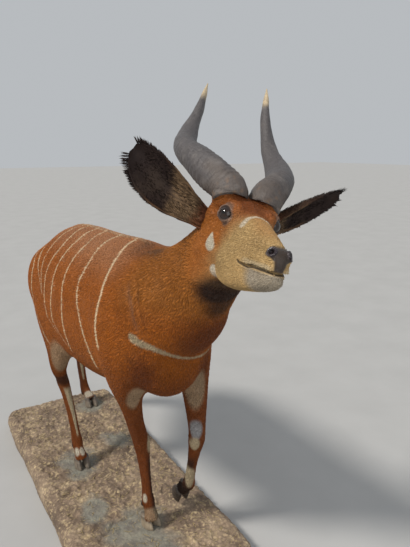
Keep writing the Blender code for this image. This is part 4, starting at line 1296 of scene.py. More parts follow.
def make_coat(skin, line, holes, rng):
    """Tufts over the whole skin, joined into pieces."""
    mesh = skin.data
    mesh.calc_loop_triangles()
    corners = read_rows(mesh.loop_triangles, "vertices", kind=np.int32)
    loops = read_rows(mesh.loop_triangles, "loops", kind=np.int32)
    maps = read_rows(mesh.uv_layers["OFBake"].data, "uv", 2, np.float32)
    points = vert_array(mesh)
    normals = normal_array(mesh)
    middle = points[corners].mean(1)
    first, second, third = points[corners].transpose(1, 0, 2)
    cross = np.cross(second - first, third - first)
    area = np.linalg.norm(cross, axis=1) / 2
    head = head_share(middle)
    neck = (1 - rise(-0.66, -0.56, middle[:, 1])) * (1 - head)
    leg = 1 - rise(0.56, 0.68, middle[:, 2])
    shares = {"head": head, "neck": neck * (1 - leg), "leg": leg,
              "trunk": (1 - head) * (1 - neck) * (1 - leg)}
    dense = sum(share * COAT_ZONES[zone][3] for zone, share in shares.items())
    dense = dense * (1 - bare_share(middle))
    h = to_head(middle)
    away = line_distance(h, line)[0]
    dense *= rise(0.0048, 0.0066, away)
    for hole in holes:
        dense *= rise(0.012, 0.015, np.linalg.norm(h - hole, axis=1))
    weight = np.cumsum(area * dense)
    total = int(weight[-1])
    picks = np.searchsorted(weight, (np.arange(total) + rng.random(total)) * weight[-1] / total)
    picks = np.minimum(picks, len(corners) - 1)
    one, two = rng.random(total), rng.random(total)
    flip = one + two > 1
    one[flip], two[flip] = 1 - one[flip], 1 - two[flip]
    bary = np.stack([1 - one - two, one, two], 1)
    root = np.einsum("ij,ijk->ik", bary, points[corners[picks]])
    normal = np.einsum("ij,ijk->ik", bary, normals[corners[picks]])
    normal = unit_rows(normal)
    spot = np.einsum("ij,ijk->ik", bary, maps[loops[picks]])
    sizes = [sum(shares[zone][picks] * COAT_ZONES[zone][k] for zone in shares) for k in range(3)]
    length, half, lift = (size * rng.uniform(0.75, 1.25, total) for size in sizes)
    ridge = (1 - rise(0.006, 0.02, np.abs(root[:, 0] - MID))) * rise(1.12, 1.17, root[:, 2])
    ridge *= rise(-0.62, -0.45, root[:, 1])
    length *= 1 + 0.9 * ridge
    lift *= 1 + 2.2 * ridge
    flow = hair_lie(root, normal)
    turn = rng.normal(0, 0.16, total) + 0.25 * ripple(root, 20, 3)
    side = np.cross(normal, flow)
    flow = flow * np.cos(turn)[:, None] + side * np.sin(turn)[:, None]
    side = np.cross(normal, flow)
    length *= 1 - 0.35 * stripe_share(root + flow * length[:, None] * 0.6)
    reach = flow * length[:, None]
    tints = np.stack([coat_colour(root + reach * share) for share in (0.0, 0.5, 1.0)], 1)
    uneven = 0.18 - 0.1 * head_share(root)[:, None, None]
    colour = np.clip(tints * (1 + uneven * rng.uniform(-1, 1, (total, 1, 1))), 0.003, 1)
    zone = np.full(total, 1)
    zone[root[:, 1] < -0.905] = 0
    zone[(root[:, 1] >= -0.905) & (root[:, 1] < -0.6) & (root[:, 2] > 0.66)] = 2
    zone[root[:, 2] <= 0.66] = 3
    names = {0: "coat_head", 1: "coat_trunk", 2: "coat_neck", 3: "coat_legs"}
    made = []
    for key, name in names.items():
        chosen = np.nonzero(zone == key)[0]
        parts = max(1, math.ceil(len(chosen) / PIECE_TUFTS))
        for part in range(parts):
            pick = chosen[part::parts]
            data = [v[pick] for v in (root, normal, flow, side, length, half, lift, colour, spot)]
            made.append(tuft_mesh(f"{name}_{part + 1}", *data))
    return made, total


# Place of a tuft's seven corners on its patch of the OFBake map, and the patch's size.
TUFT_PATCH = ((-1, -1), (0, -1.2), (1, -1), (-0.8, 0.2), (0, 0.1), (0.8, 0.2), (0, 1.4))
PATCH_SIZE = 0.0011
# Light and shade of the same seven corners.
TUFT_SHADE = (0.72, 0.8, 0.72, 0.98, 1.04, 0.98, 1.1)


def tuft_mesh(name, root, normal, flow, side, length, half, lift, colour, spot):
    """Closed flat blades that end in a point, with one colour or those of root, middle and tip."""
    count = len(root)
    length, half, lift = length[:, None], half[:, None], lift[:, None]
    thick = half * 0.42
    rows = []
    for share, up, wide in ((0.0, -0.12, 0.8), (0.48, 0.62, 1.0)):
        place = root + flow * length * share + normal * lift * up
        rows += [place + side * half * wide, place + normal * thick, place - side * half * wide]
    rows.append(root + flow * length * (1 - 0.03 * share) + normal * lift * 0.92)
    verts = np.stack(rows, 1).reshape(-1, 3)
    quads = np.array([(0, 1, 4, 3), (1, 2, 5, 4), (2, 0, 3, 5)])
    tips = np.array([(3, 4, 6), (4, 5, 6), (5, 3, 6)])
    start = (np.arange(count) * 7)[:, None]
    corners = np.concatenate([(2, 1, 0), quads.ravel(), tips.ravel()])
    loop_rows = start + corners[None]
    sizes = np.tile(np.array([3, 4, 4, 4, 3, 3, 3]), count)
    mesh = bpy.data.meshes.new(name)
    mesh.vertices.add(len(verts))
    mesh.vertices.foreach_set("co", verts.ravel())
    mesh.loops.add(loop_rows.size)
    mesh.loops.foreach_set("vertex_index", loop_rows.ravel())
    mesh.polygons.add(len(sizes))
    mesh.polygons.foreach_set("loop_start", np.concatenate([[0], np.cumsum(sizes)[:-1]]))
    mesh.update(calc_edges=True)
    patch = np.array(TUFT_PATCH) * PATCH_SIZE
    layer = mesh.uv_layers.new(name="OFBake")
    uv = spot[:, None, :] + patch[None]
    uv = uv.reshape(-1, 2)[loop_rows.ravel()]
    layer.data.foreach_set("uv", uv.astype(np.float32).ravel())
    if colour.ndim == 2:
        colour = np.repeat(colour[:, None], 3, 1)
    tint = colour[:, (0, 0, 0, 1, 1, 1, 2)] * np.array(TUFT_SHADE)[None, :, None]
    set_colours(mesh, np.clip(tint, 0, 1).reshape(-1, 3))
    return linked(name, mesh)


HORN_RINGS = 190
HORN_SIDES = 44
HORN_SLATE = paint(84, 80, 80)
HORN_BROWN = paint(92, 82, 74)
HORN_SPOT = paint(136, 104, 72)
HORN_IVORY = paint(206, 186, 150)


def round_noise(turn, scale, level):
    """Uneven value round a tube, the same after a full turn."""
    return noise.noise(Vector((math.cos(turn) * scale, math.sin(turn) * scale, level)))


def horn(side):
    """Spiral horn with its keel, uneven growth rings near the root and a pale tip."""
    root = Vector(HORN_LINE[1])
    lean = Matrix.Rotation(HORN_LEAN.length, 4, HORN_LEAN * side)
    line = []
    for point in HORN_LINE:
        spot = lean @ (Vector(point) - root) + root
        spot.x *= side
        line.append(HEAD @ spot)
    rows = spline(line, HORN_RINGS)
    across = (HEAD.to_3x3() @ Vector((side, 0, 0))).normalized()
    rings = []
    shares = []
    for i, place in enumerate(rows):
        t = i / (HORN_RINGS - 1)
        ahead = (rows[min(i + 1, HORN_RINGS - 1)] - rows[max(i - 1, 0)]).normalized()
        across = (across - ahead * across.dot(ahead)).normalized()
        up = ahead.cross(across)
        radius = ramp(HORN_RADIUS, t)
        ring = []
        for j in range(HORN_SIDES):
            turn = math.tau * j / HORN_SIDES
            keel = turn - side * HORN_TURN * t
            swell = 1 + 0.12 * max(0.0, math.cos(keel)) ** 5 + 0.05 * math.cos(2 * keel)
            swell += 0.05 * max(0.0, math.cos(keel + 2.3)) ** 7
            low = max(0.0, 1 - 2.0 * t)
            swell += 0.024 * math.sin(t * 250 + 3.0 * round_noise(turn, 1.4, t * 9)) * low ** 0.6
            swell += 0.03 * round_noise(turn, 2, t * 26)
            swell += 0.02 * round_noise(turn, 5, t * 80) * low ** 0.5
            ring.append(place + (across * math.cos(turn) + up * math.sin(turn)) * radius * swell)
            shares.append(t)
        rings.append(ring)
    item = stack(named("horn", side) + "_shown", rings)
    shares = np.array(shares + [0.0, 1.0])
    points = vert_array(item.data)
    colour = plain(HORN_SLATE, len(points))
    colour = layered(
        colour,
        (HORN_BROWN, 0.8 * (1 - rise(0.02, 0.26, shares + 0.09 * ripple(points, 70)))),
        (HORN_SPOT, 0.6 * rise(0.2, 0.8, ripple(points, 210, 6)) * (1 - rise(0.02, 0.1, shares))),
        (HORN_IVORY, rise(0.86, 0.935, shares + 0.015 * ripple(points, 70))))
    set_colours(item.data, colour)
    wrap_tube(item, HORN_RINGS, HORN_SIDES)
    return item


def wrap_tube(item, rings, sides, name="Along"):
    """UV map of a tube: round it and along it."""
    layer = item.data.uv_layers.new(name=name)
    for polygon in item.data.polygons:
        for loop in polygon.loop_indices:
            index = item.data.loops[loop].vertex_index
            row, column = divmod(index, sides)
            turn = 2 * abs(column / sides - 0.5)
            layer.data[loop].uv = (turn, min(row / rings, 1.0))


EAR_RINGS = 72
EAR_ACROSS = 34
EAR_INSIDE = paint(44, 32, 29)
EAR_PALE = paint(150, 124, 94)
EAR_RIM = paint(122, 90, 60)
EAR_BACK = paint(66, 44, 31)
EAR_ROOT_BROWN = paint(112, 62, 32)


def ear(side):
    """Cupped ear with a thick rounded rim and a softly ribbed inner face."""
    rings = []
    marks = []
    for i in range(EAR_RINGS):
        t = i / (EAR_RINGS - 1)
        ring = []
        for j in range(EAR_ACROSS):
            u = -1 + 2 * j / (EAR_ACROSS - 1)
            dent = 0.0012 * math.cos(u * 9.0) * math.sin(math.pi * t) * (1 - u * u)
            rim = 0.001 * max(0.0, abs(u) - 0.86) / 0.14
            ring.append(ear_spot(side, t, u, -rim - dent))
            marks.append((t, u, 0))
        for j in range(EAR_ACROSS):
            u = 1 - 2 * j / (EAR_ACROSS - 1)
            ring.append(ear_spot(side, t, u, EAR_THICK))
            marks.append((t, u, 1))
        rings.append(ring)
    item = stack(named("ear", side) + "_shown", rings)
    marks += [(0, 0, 1), (1, 0, 1)]
    set_colours(item.data, ear_colour(np.array(marks, float)))
    return item


def ear_colour(marks):
    t, u, back = marks.T
    colour = plain(EAR_INSIDE, len(marks))
    streak = 0.5 + 0.5 * np.sin(u * 31 + 5 * np.sin(t * 9) + 2 * t)
    pale = band(0.1, 0.46, t + 0.1 * u, 0.07) * (0.35 + 0.65 * streak)
    colour = layered(
        colour,
        (EAR_PALE, 0.85 * pale),
        (EAR_RIM, 0.6 * rise(0.88, 0.95, np.abs(u)) * (1 - rise(0.45, 0.8, t)) * streak),
        (EAR_ROOT_BROWN, 0.7 * (1 - rise(0.08, 0.2, t))))
    behind = plain(EAR_BACK, len(marks))
    behind = mixed(behind, EAR_ROOT_BROWN, 0.8 * (1 - rise(0.12, 0.38, t)))
    behind = mixed(behind, SOOT, rise(0.5, 0.8, t) * 0.85)
    return mixed(colour, behind, back)


def ear_hair(side, rng):
    """Long hair along the ear's rims and inside it, and short hair behind it."""
    sets = []
    aim, face, across = (np.array(HEAD.to_3x3() @ v) for v in ear_frame(side))
    spec = [
        ("rim", 900, 0.0), ("inner", 1500, 0.0), ("back", 1900, EAR_THICK),
    ]
    for kind, count, out in spec:
        for _ in range(count):
            if kind == "rim":
                t = rng.uniform(0.1, 0.99)
                u = rng.choice([-1.0, 1.0]) * rng.uniform(0.93, 1.0)
                length = rng.uniform(0.006, 0.012) + 0.02 * max(0.0, t - 0.55) * (1.0 if u > 0 else 0.6)
                length += rng.uniform(0.002, 0.012) * max(0.0, t - 0.85) / 0.15
                way = aim * 0.9 + across * u * (0.65 if u > 0 else 0.4) + face * rng.normal(0, 0.12)
                lift = 0.0
            elif kind == "inner":
                t = rng.uniform(0.03, 0.9) ** 1.1
                u = rng.uniform(-0.92, 0.92)
                length = rng.uniform(0.01, 0.02) * (1.25 - 0.6 * t)
                way = aim - across * u * 0.25
                lift = 0.003
            else:
                t = rng.uniform(0.02, 0.98)
                u = rng.uniform(-0.98, 0.98)
                length = rng.uniform(0.007, 0.011)
                way = aim + across * u * 0.1
                lift = 0.0016
            root = np.array(ear_spot(side, t, u, out))
            near = np.array(ear_spot(side, t, u, out + (0.001 if kind == "back" else -0.001)))
            normal = near - root
            normal /= np.linalg.norm(normal)
            sets.append((root, normal, way, length, lift, t, u, kind))
    root = np.array([s[0] for s in sets])
    normal = np.array([s[1] for s in sets])
    flow = np.array([s[2] for s in sets])
    free = np.array([s[7] == "rim" for s in sets])
    flat = flow - normal * np.sum(flow * normal, 1)[:, None]
    flow = np.where(free[:, None], flow, flat)
    flow += rng.normal(0, 0.12, flow.shape)
    flow = unit_rows(flow)
    side_way = np.cross(normal, flow)
    side_way = unit_rows(side_way)
    length = np.array([s[3] for s in sets])
    lift = np.array([s[4] for s in sets])
    half = np.where(free, 0.0011, 0.0008) * rng.uniform(0.8, 1.3, len(sets))
    marks = np.array([(s[5], s[6], 1.0 if s[7] == "back" else 0.0) for s in sets])
    colour = ear_colour(marks) * rng.uniform(0.7, 1.35, (len(sets), 1))
    across_map = 0.1 + 0.4 * (marks[:, 1] + 1) / 2 + 0.45 * marks[:, 2]
    spot = np.stack([across_map, 0.05 + 0.9 * marks[:, 0]], 1)
    name = named("ear_hair", side)
    return tuft_mesh(name, root, normal, flow, side_way, length, half, lift, colour, spot)


EYE_BROWN = paint(38, 24, 17)
EYE_BLACK = paint(10, 8, 8)
NOSTRIL_RIM = paint(46, 38, 46)


def eye(side):
    """Eyeball with a broad level pupil, a dark brown iris and a clear bulge."""
    look, along, up = eye_axes(side)
    item = ball(named("eye", side) + "_shown", (EYE.x * side, EYE.y, EYE.z), (EYE_R,) * 3, HEAD, 40, 64)
    points = vert_array(item.data)
    h = to_head(points) - EYE_SPOTS[0 if side == 1 else 1]
    unit = h / np.linalg.norm(h, axis=1)[:, None]
    a, b, front = unit @ along, unit @ up, unit @ look
    iris = 1 - rise(0.56, 0.64, np.sqrt(a * a + b * b))
    pupil = 1 - rise(0.85, 1.1, np.sqrt((a / 0.34) ** 2 + (b / 0.19) ** 2))
    colour = np.repeat(paint(44, 36, 34)[None], len(points), 0)
    colour = layered(
        colour,
        (EYE_BROWN, iris * (front > 0)),
        (EYE_BLACK, pupil * (front > 0)))
    set_colours(item.data, colour)
    return item


HOOF_GREY = paint(116, 106, 94)
HOOF_DARK = paint(58, 50, 46)


# Share of a claw's height, its size there and how far it lies back.
HOOF_OUTLINE = [(0.0, 0.97, 0.0), (0.12, 1.0, 0.001), (0.5, 0.88, 0.007), (0.85, 0.74, 0.013),
                (1.0, 0.66, 0.015)]


def hoof(name, hand):
    """One claw: worn ground edge, growth ridges and a rounded toe."""
    centre, toe, down = (Vector(v) for v in HOOVES[name])
    down.normalize()
    toe = (toe - down * toe.dot(down)).normalized()
    side = down.cross(toe)
    middle = centre + side * hand * (HOOF_HALF_WIDTH + CLEFT / 2)
    rings = []
    for i in range(26):
        share = i / 25
        size = ramp([(a, b) for a, b, c in HOOF_OUTLINE], share)
        back = ramp([(a, c) for a, b, c in HOOF_OUTLINE], share)
        ring = []
        for j in range(36):
            turn = math.tau * j / 36
            ridge = 1 + 0.012 * math.sin(share * 44 + 0.6 * math.cos(turn)) * (1 - share * 0.4)
            ridge += 0.014 * round_noise(turn, 2, share * 5 + hand)
            along = math.cos(turn) * HOOF_LENGTH / 2 * size
            wide = math.sin(turn) * HOOF_HALF_WIDTH * (1 - 0.42 * max(0.0, math.cos(turn)) ** 2)
            if wide * hand < 0:
                wide = -abs(wide) * 0.9 * hand
            wide *= (1 - 0.12 * share) * ridge
            ring.append(middle + toe * (along * ridge - back) + side * wide
                        - down * (HOOF_HEIGHT * share + (0.0008 if share == 0 else 0.0)))
        rings.append(ring)
    item = stack(f"hoof_{name}_{'inner' if hand == 1 else 'outer'}_shown", rings)
    points = vert_array(item.data)
    tone = paint(150, 136, 116) if name == "fore_right" else HOOF_GREY
    tone = HOOF_DARK if name == "fore_left" else tone
    colour = np.repeat(tone[None], len(points), 0)
    high = (points - np.array(centre)) @ -np.array(down) / HOOF_HEIGHT
    colour = mixed(colour, HOOF_DARK, 0.55 * rise(0.35, 0.9, high) + 0.25 * ripple(points, 120))
    set_colours(item.data, colour)
    return item


def dewclaws(name):
    """Two small horn knobs behind the fetlock."""
    rows = LEGS[name]
    place = Vector(rows[10][:3])
    ahead = (Vector(rows[11][:3]) - Vector(rows[9][:3])).normalized()
    back = ahead.cross(Vector((1, 0, 0))).normalized()
    if back.y < 0:
        back = -back
    pieces = []
    for hand in (1, -1):
        spot = place + back * 0.016 + Vector((0.013 * hand, 0, 0)) + ahead * 0.006
        way = (ahead + back * 0.9).normalized()
        side = way.cross(back).normalized()
        high = side.cross(way)
        rings = []
        for i in range(12):
            t = i / 11
            wide = 0.0085 * math.sqrt(max(0.0, 1 - (t ** 2.2))) + 0.0006
            core = spot + way * 0.03 * t + ahead * 0.004 * t * t
            wide *= 1 + 0.04 * math.sin(t * 30)
            turns = [math.tau * j / 16 for j in range(16)]
            rings.append([core + (side * math.cos(turn) + high * 0.8 * math.sin(turn)) * wide
                          for turn in turns])
        pieces.append(stack("claw", rings))
    item = join(pieces, "dewclaws_" + name)
    set_colours(item.data, np.repeat(HOOF_DARK[None] * 0.9, len(item.data.vertices), 0))
    return item


def tail_core():
    item = tube("tail_shown", TAIL_LINE, 60, 24)
    points = vert_array(item.data)
    colour = np.repeat(CHESTNUT[None] * 0.8, len(points), 0)
    set_colours(item.data, mixed(colour, SOOT, 1 - rise(0.68, 0.78, points[:, 2])))
    return item


TAIL_TUFTS = 5200
# Share of the tail's tufts that grow near its end.
TAIL_LONG_SHARE = 0.42


def tail_hair(rng):
    """Short hair down the tail and long locks at its end."""
    rows = np.array([tuple(r) for r in spline(TAIL_LINE, 120)])
    count = TAIL_TUFTS
    long = rng.random(count) < TAIL_LONG_SHARE
    t = np.where(long, rng.uniform(0.62, 1.0, count), rng.uniform(0.0, 0.8, count))
    index = np.clip((t * 119).astype(int), 0, 118)
    centre = rows[index, :3]
    ahead = rows[index + 1, :3] - centre
    ahead = unit_rows(ahead)
    turn = rng.uniform(0, math.tau, count)
    across = np.repeat(np.array([[1.0, 0, 0]]), count, 0)
    across -= ahead * np.sum(across * ahead, 1)[:, None]
    across = unit_rows(across)
    deep = np.cross(ahead, across)
    normal = across * np.cos(turn)[:, None] + deep * np.sin(turn)[:, None]
    root = centre + (across * np.cos(turn)[:, None] * rows[index, 3:4] + deep * np.sin(turn)[:, None]
                     * rows[index, 4:5]) * 0.92
    switch = rise(0.58, 0.7, t)
    length = (0.012 + 0.12 * switch * rng.uniform(0.6, 1.0, count)) * rng.uniform(0.85, 1.1, count)
    length = np.minimum(length, root[:, 2] - 0.478)
    lift = 0.003 + 0.012 * switch * rng.uniform(0.1, 1.0, count)
    half = np.where(switch > 0.4, 0.0017, 0.0013)
    down = np.array([0, 0, -1.0])
    flow = ahead * (1 - switch)[:, None] + down * switch[:, None] + rng.normal(0, 0.05, (count, 3))
    flow = unit_rows(flow)
    side = np.cross(normal, flow)
    side = unit_rows(side)
    colour = mixed(np.repeat(CHESTNUT[None] * 0.9, count, 0), SOOT, rise(0.55, 0.72, t))
    colour = colour * rng.uniform(0.7, 1.35, (count, 1))
    spot = np.stack([0.1 + 0.8 * turn / math.tau, 0.05 + 0.9 * t], 1)
    return tuft_mesh("tail_hair", root, normal, flow, side, length, half, lift, colour, spot)


BASE_CELLS = (126, 336)
BASE_CORNER = 0.1
STONES = [((-0.105, 0.08), 0.085), ((-0.06, -0.5), 0.12), ((0.137, 0.59), 0.08), ((-0.15, -0.25), 0.055),
          ((0.12, 0.18), 0.06)]
# Cracks that part the slab's crusts, each a line of x and y.
CRACKS = [[(-0.16, 0.02), (-0.06, 0.055), (0.04, 0.075), (0.13, 0.15)],
          [(-0.19, -0.42), (-0.1, -0.37), (-0.01, -0.36), (0.07, -0.33), (0.16, -0.4)],
          [(-0.23, -0.12), (-0.12, -0.15), (-0.04, -0.19)],
          [(0.01, 0.3), (0.08, 0.38), (0.07, 0.47)]]


def base():
    """Groundwork slab: crusted top with worn stones, cracks and a crumbling rim."""
    nx, ny = BASE_CELLS
    places = [(-1 + 2 * i / nx, -1 + 2 * j / ny) for j in range(ny + 1) for i in range(nx + 1)]
    flat = np.array([(u * BASE_HALF[0], v * BASE_HALF[1], BASE_TOP) for u, v in places])
    verts = [base_spot(u, v, stone) for (u, v), stone in zip(places, stone_share(flat))]
    row = nx + 1
    faces = []
    for j in range(ny):
        for i in range(nx):
            a = j * row + i
            faces.append((a, a + 1, a + row + 1, a + row))
    rim = list(range(nx)) + [nx + j * row for j in range(ny)]
    rim += [ny * row + nx - i for i in range(nx)] + [(ny - j) * row for j in range(ny)]
    count = len(rim)
    upper = rim
    levels = 16
    for level in range(1, levels + 1):
        share = level / levels
        height_out = 1 + 0.022 * math.sin(math.pi * min(1.0, share * 1.3)) * 0.9
        start = len(verts)
        for k in rim:
            spot = Vector(verts[k])
            rough = 0.005 * noise.noise(Vector((spot.x * 30, spot.y * 30, share * 3)))
            rough += 0.0018 * noise.noise(Vector((spot.x * 120, spot.y * 120, share * 14)))
            out = height_out - 0.008 + rough * 1.2
            verts.append((spot.x * out, spot.y * (1 + (out - 1) * 0.4), spot.z * (1 - share)))
        for k in range(count):
            m = (k + 1) % count
            faces.append((upper[k], upper[m], start + m, start + k))
        upper = list(range(start, start + count))
    verts.append((0.0, 0.0, 0.0))
    for k in range(count):
        faces.append((upper[k], upper[(k + 1) % count], len(verts) - 1))
    item = add_mesh("base_shown", verts, faces)
    points = vert_array(item.data)
    set_colours(item.data, np.repeat(stone_share(points)[:, None], 3, 1))
    return item


def stone_share(points):
    share = np.zeros(len(points))
    for (x, y), size in STONES:
        away = np.hypot(points[:, 0] - x, (points[:, 1] - y) * 0.8)
        uneven = size * (1 + 0.45 * ripple(points * np.array((1, 1, 0)), 26, size * 90))
        share = np.maximum(share, 0.85 * (1 - rise(0.7, 1.3, away / uneven)))
    return share * rise(BASE_TOP - 0.02, BASE_TOP - 0.01, points[:, 2])


def base_spot(u, v, stone=0.0):
    """Place on the slab's top for u and v from -1 to 1, with its corners rounded."""
    half_x, half_y = BASE_HALF
    corner = BASE_CORNER
    cut_x, cut_y = 1 - corner / half_x, 1 - corner / half_y
    s = (abs(u) - cut_x) / (1 - cut_x)
    t = (abs(v) - cut_y) / (1 - cut_y)
    x, y = u * half_x, v * half_y
    if s > 0 and t > 0:
        x = math.copysign(half_x - corner + corner * s * math.sqrt(1 - t * t / 2), u)
        y = math.copysign(half_y - corner + corner * t * math.sqrt(1 - s * s / 2), v)
    x *= 0.975
    y *= 0.985
    far = min(math.hypot(x - foot[0][0], y - foot[0][1]) for foot in HOOVES.values())
    free = min(1.0, max(0.0, (far - 0.115) / 0.1))
    edge = max(abs(u), abs(v))
    height = BASE_TOP + free * 0.007 * noise.noise(Vector((x * 7, y * 7, 0.3)))
    height -= 0.02 * max(0.0, (edge - 0.9) / 0.1) ** 2
    wave = 0.01 * noise.noise(Vector((x * 5, y * 5, 5.0))) * max(0.0, edge - 0.5) * 2
    near = min(1.0, max(0.0, (far - 0.05) / 0.04))
    worn = 1.0 - 0.85 * stone
    crust = 0.0085 * (0.55 - abs(noise.noise(Vector((x * 24, y * 24, 1.0)))) * 2.2)
    crust += 0.0042 * noise.noise(Vector((x * 62, y * 62, 3.0)))
    crust += 0.0016 * noise.noise(Vector((x * 150, y * 150, 7.0)))
    wiggle = 0.012 * noise.noise(Vector((x * 22, y * 22, 11.0)))
    crack = min(crack_distance(x + wiggle, y - wiggle, line) for line in CRACKS)
    dent = 0.009 * math.exp(-(crack / 0.0065) ** 2) * min(1.0, max(0.0, (far - 0.04) / 0.05))
    height += ((crust - 0.002) * worn - dent) * near
    return (x + math.copysign(wave, u), y + math.copysign(wave, v), height)


def crack_distance(x, y, line):
    best = 1.0
    for (ax, ay), (bx, by) in zip(line, line[1:]):
        dx, dy = bx - ax, by - ay
        t = max(0.0, min(1.0, ((x - ax) * dx + (y - ay) * dy) / (dx * dx + dy * dy)))
        best = min(best, math.hypot(x - ax - t * dx, y - ay - t * dy))
    return best


STRAWS = 1500


def straw(rng):
    """Short chopped straws that lie half sunk in the base's top."""
    count = STRAWS
    root = np.zeros((count, 3))
    root[:, 0] = rng.uniform(-0.255, 0.255, count)
    root[:, 1] = rng.uniform(-0.74, 0.74, count)
    feet = np.array([foot[0][:2] for foot in HOOVES.values()])
    far = np.min(np.hypot(root[:, 0, None] - feet[:, 0], root[:, 1, None] - feet[:, 1]), axis=1)
    root = root[far > 0.06]
    count = len(root)
    for spot in root:
        u, v = spot[0] / BASE_HALF[0] / 0.975, spot[1] / BASE_HALF[1] / 0.985
        spot[2] = base_spot(u, v)[2] + 0.0004
    turn = rng.uniform(0, math.tau, count)
    flow = np.stack([np.cos(turn), np.sin(turn), rng.uniform(-0.05, 0.08, count)], 1)
    normal = np.repeat(np.array([[0, 0, 1.0]]), count, 0)
    side = np.cross(normal, flow)
    length = rng.uniform(0.01, 0.034, count)
    half = rng.uniform(0.0006, 0.0014, count)
    colour = plain(CREAM, count) * rng.uniform(0.5, 1.0, (count, 1))
    spot = np.stack([(root[:, 0] + 0.3) / 0.6, (root[:, 1] + 0.8) / 1.6], 1)
    lift = np.full(count, 0.0012)
    return tuft_mesh("straw", root, normal, flow, side, length, half, lift, colour, spot)


def neck_folds(item):
    """Skin creases where the neck meets the shoulder."""
    points = vert_array(item.data)
    normals = normal_array(item.data)
    move = np.zeros(len(points))
    for i, away, along in fold_distances(points):
        fade = np.sin(np.clip(along, 0, 1) * math.pi) ** 0.7
        move -= FOLD_DEPTH[i] * np.exp(-(away / FOLD_WIDTH[i]) ** 2) * fade
        move += FOLD_EDGE * np.exp(-((away - 0.018) / 0.009) ** 2) * fade
    set_verts(item.data, points + normals * move[:, None])


def coat_depth(points):
    """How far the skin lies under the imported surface."""
    head = head_share(points)
    low = 1 - rise(0.5, 0.66, points[:, 2])
    return 0.0022 * (1 - head) * (1 - 0.4 * low) + 0.0009 * head


def make_skin():
    item = build_skin()
    unwrap(item)
    subdivide_where(item, lambda m: m[:, 1] < -0.9)
    subdivide_where(item, lambda m: detail_zone(to_head(m)))
    tree = surface_tree(item)
    line, holes = mouth_line(tree), nostril_spots(tree)
    subdivide_where(item, lambda m: fine_zone(to_head(m), line, holes))
    share = head_share(vert_array(item.data))
    smooth_some(item, share * 0.9, 0.5, 3)
    neck_folds(item)
    points = vert_array(item.data)
    depth = coat_depth(points)
    set_verts(item.data, points - normal_array(item.data) * depth[:, None])
    line, holes = face_details(item)
    points = vert_array(item.data)
    set_colours(item.data, skin_colour(points, line, holes))
    wet = to_head(points)
    pad = nose_share(wet)
    for hole in holes:
        pad = np.maximum(pad, 1 - rise(0.012, 0.015, np.linalg.norm(wet - hole, axis=1)))
    set_colours(item.data, np.repeat(pad[:, None], 3, 1), "Wet")
    return item, line, holes


def near_spots(h, spots, reach):
    return np.min([np.linalg.norm(h - spot, axis=1) for spot in spots], axis=0) < reach


def detail_zone(h):
    """Eyes and muzzle, which take a finer skin."""
    muzzle = (h[:, 1] < -0.13) & (h[:, 2] > -0.125) & (h[:, 2] < 0.05)
    return near_spots(h, EYE_SPOTS, 0.05) | muzzle


def fine_zone(h, line, holes):
    """Lids, lips and nostrils, which take the finest skin."""
    lips = line_distance(h, line)[0] < 0.01
    return near_spots(h, EYE_SPOTS, 0.03) | near_spots(h, holes, 0.021) | lips


def skin_colour(points, line, holes):
    colour = coat_colour(points) * 0.82
    h = to_head(points)
    away = line_distance(h, line)[0]
    colour = mixed(colour, EYE_BLACK, 0.96 * (1 - rise(0.0032, 0.0052, away)))
    for hole in holes:
        reach = np.linalg.norm(h - hole, axis=1)
        colour = layered(
            colour,
            (NOSTRIL_RIM, 0.95 * (1 - rise(0.011, 0.0145, reach))),
            (EYE_BLACK, 0.95 * (1 - rise(0.005, 0.008, reach))))
    return colour


# Light: the way the sun shines, its strength, width and colour, and those of the fill and the sky.
SUN_WAY = (0.66, -0.05, -0.75)
SUN_STRENGTH = 2.7
SUN_WIDTH = math.radians(10)
SUN_COLOUR = (1.0, 0.95, 0.88)
FILL_PLACE = (-0.6, -3.6, 2.0)
FILL_WAY = (0.15, 0.95, -0.3)
FILL_POWER = 26
FILL_SIZE = 2.6
SKY_COLOUR = (0.92, 0.96, 1.0, 1)
SKY_STRENGTH = 0.52
# Camera: place, the ways that its right side and its lens point, sensor width and focal length in mm.
CAMERA_PLACE = (-0.708, -2.024, 1.511)
CAMERA_RIGHT = (0.853, -0.523, 0.0)
CAMERA_AHEAD = (0.508, 0.828, -0.237)
SENSOR = 36
LENS = SENSOR * 515 / 547
FLOOR_HALF = 40.0
FLOOR_DROP = 0.0005


def light(name, kind, way, place=(0, 0, 0), **settings):
    data = bpy.data.lights.new(name, kind)
    for key, value in settings.items():
        setattr(data, key, value)
    item = linked(name, data)
    item.location = place
    item.rotation_euler = Vector(way).to_track_quat("-Z", "Y").to_euler()


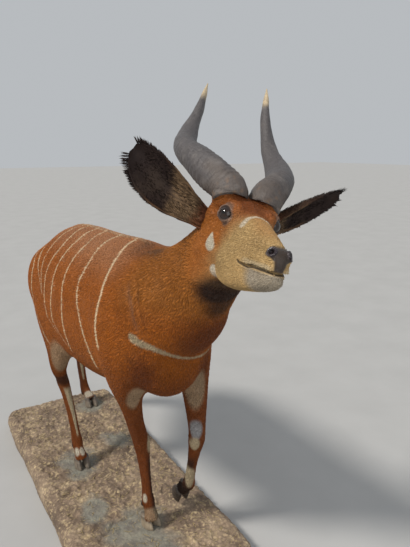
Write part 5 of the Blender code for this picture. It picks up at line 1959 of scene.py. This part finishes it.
def lights_and_camera():
    scene = bpy.context.scene
    scene.view_settings.view_transform = "Standard"
    world = bpy.data.worlds.new("studio")
    world.use_nodes = True
    sky = world.node_tree.nodes["Background"].inputs
    sky["Color"].default_value = SKY_COLOUR
    sky["Strength"].default_value = SKY_STRENGTH
    scene.world = world
    light("sun", "SUN", SUN_WAY, energy=SUN_STRENGTH, angle=SUN_WIDTH, color=SUN_COLOUR)
    light("fill", "AREA", FILL_WAY, FILL_PLACE, energy=FILL_POWER, size=FILL_SIZE)
    camera = linked("camera", bpy.data.cameras.new("camera"))
    right = Vector(CAMERA_RIGHT).normalized()
    ahead = Vector(CAMERA_AHEAD).normalized()
    turn = Matrix((right, right.cross(ahead), -ahead)).transposed().to_4x4()
    camera.matrix_world = Matrix.Translation(CAMERA_PLACE) @ turn
    camera.data.sensor_width = SENSOR
    camera.data.lens = LENS
    camera.data.clip_start = 0.05
    scene.camera = camera


def floor():
    corners = ((-1, -1), (1, -1), (1, 1), (-1, 1))
    verts = [(x * FLOOR_HALF, y * FLOOR_HALF, -FLOOR_DROP) for x, y in corners]
    item = add_mesh("floor", verts, [(0, 1, 2, 3)])
    item.data.materials.append(floor_material())
    item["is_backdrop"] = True


SEED = 5


def main():
    for name in ("Cube", "Light", "Camera"):
        if name in bpy.data.objects:
            bpy.data.objects.remove(bpy.data.objects[name], do_unlink=True)
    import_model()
    box = [[float(v) for v in corner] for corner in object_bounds()]
    rng = np.random.default_rng(SEED)
    skin, line, holes = make_skin()
    coat, total = make_coat(skin, line, holes, rng)
    skin.data.uv_layers.remove(skin.data.uv_layers["OFBake"])
    flesh_nodes = ["head", "neck", "torso"] + ["leg_" + name for name in LEGS]
    dressed(skin, skin_material(), "coat", *flesh_nodes)
    hair = coat_material("coat_hair", True)
    for item in coat:
        dressed(item, hair, "coat")
    horn_finish, hoof_finish = horn_material(), hoof_material()
    ear_finish = coat_material("ear_skin", True)
    for side in (1, -1):
        dressed(horn(side), horn_finish, "horn", named("horn", side))
        dressed(ear(side), ear_finish, "ear_hair", named("ear", side))
        dressed(ear_hair(side, rng), hair, "ear_hair")
        dressed(eye(side), eye_material(), "eye", named("eye", side))
    for name in HOOVES:
        for hand in (1, -1):
            node = f"hoof_{name}_{'inner' if hand == 1 else 'outer'}"
            dressed(hoof(name, hand), hoof_finish, "hoof", node)
        dressed(dewclaws(name), hoof_finish, "hoof")
    dressed(tail_core(), ear_finish, "tail_hair", "tail")
    dressed(tail_hair(rng), hair, "tail_hair")
    dressed(base(), ground_material(), "groundwork", "base")
    dressed(straw(rng), straw_material(), "groundwork")
    floor()
    lights_and_camera()
    shown = [[float(v) for v in corner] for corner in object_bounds()]
    print("tufts", total, "cad", box, "shown", shown)


main()
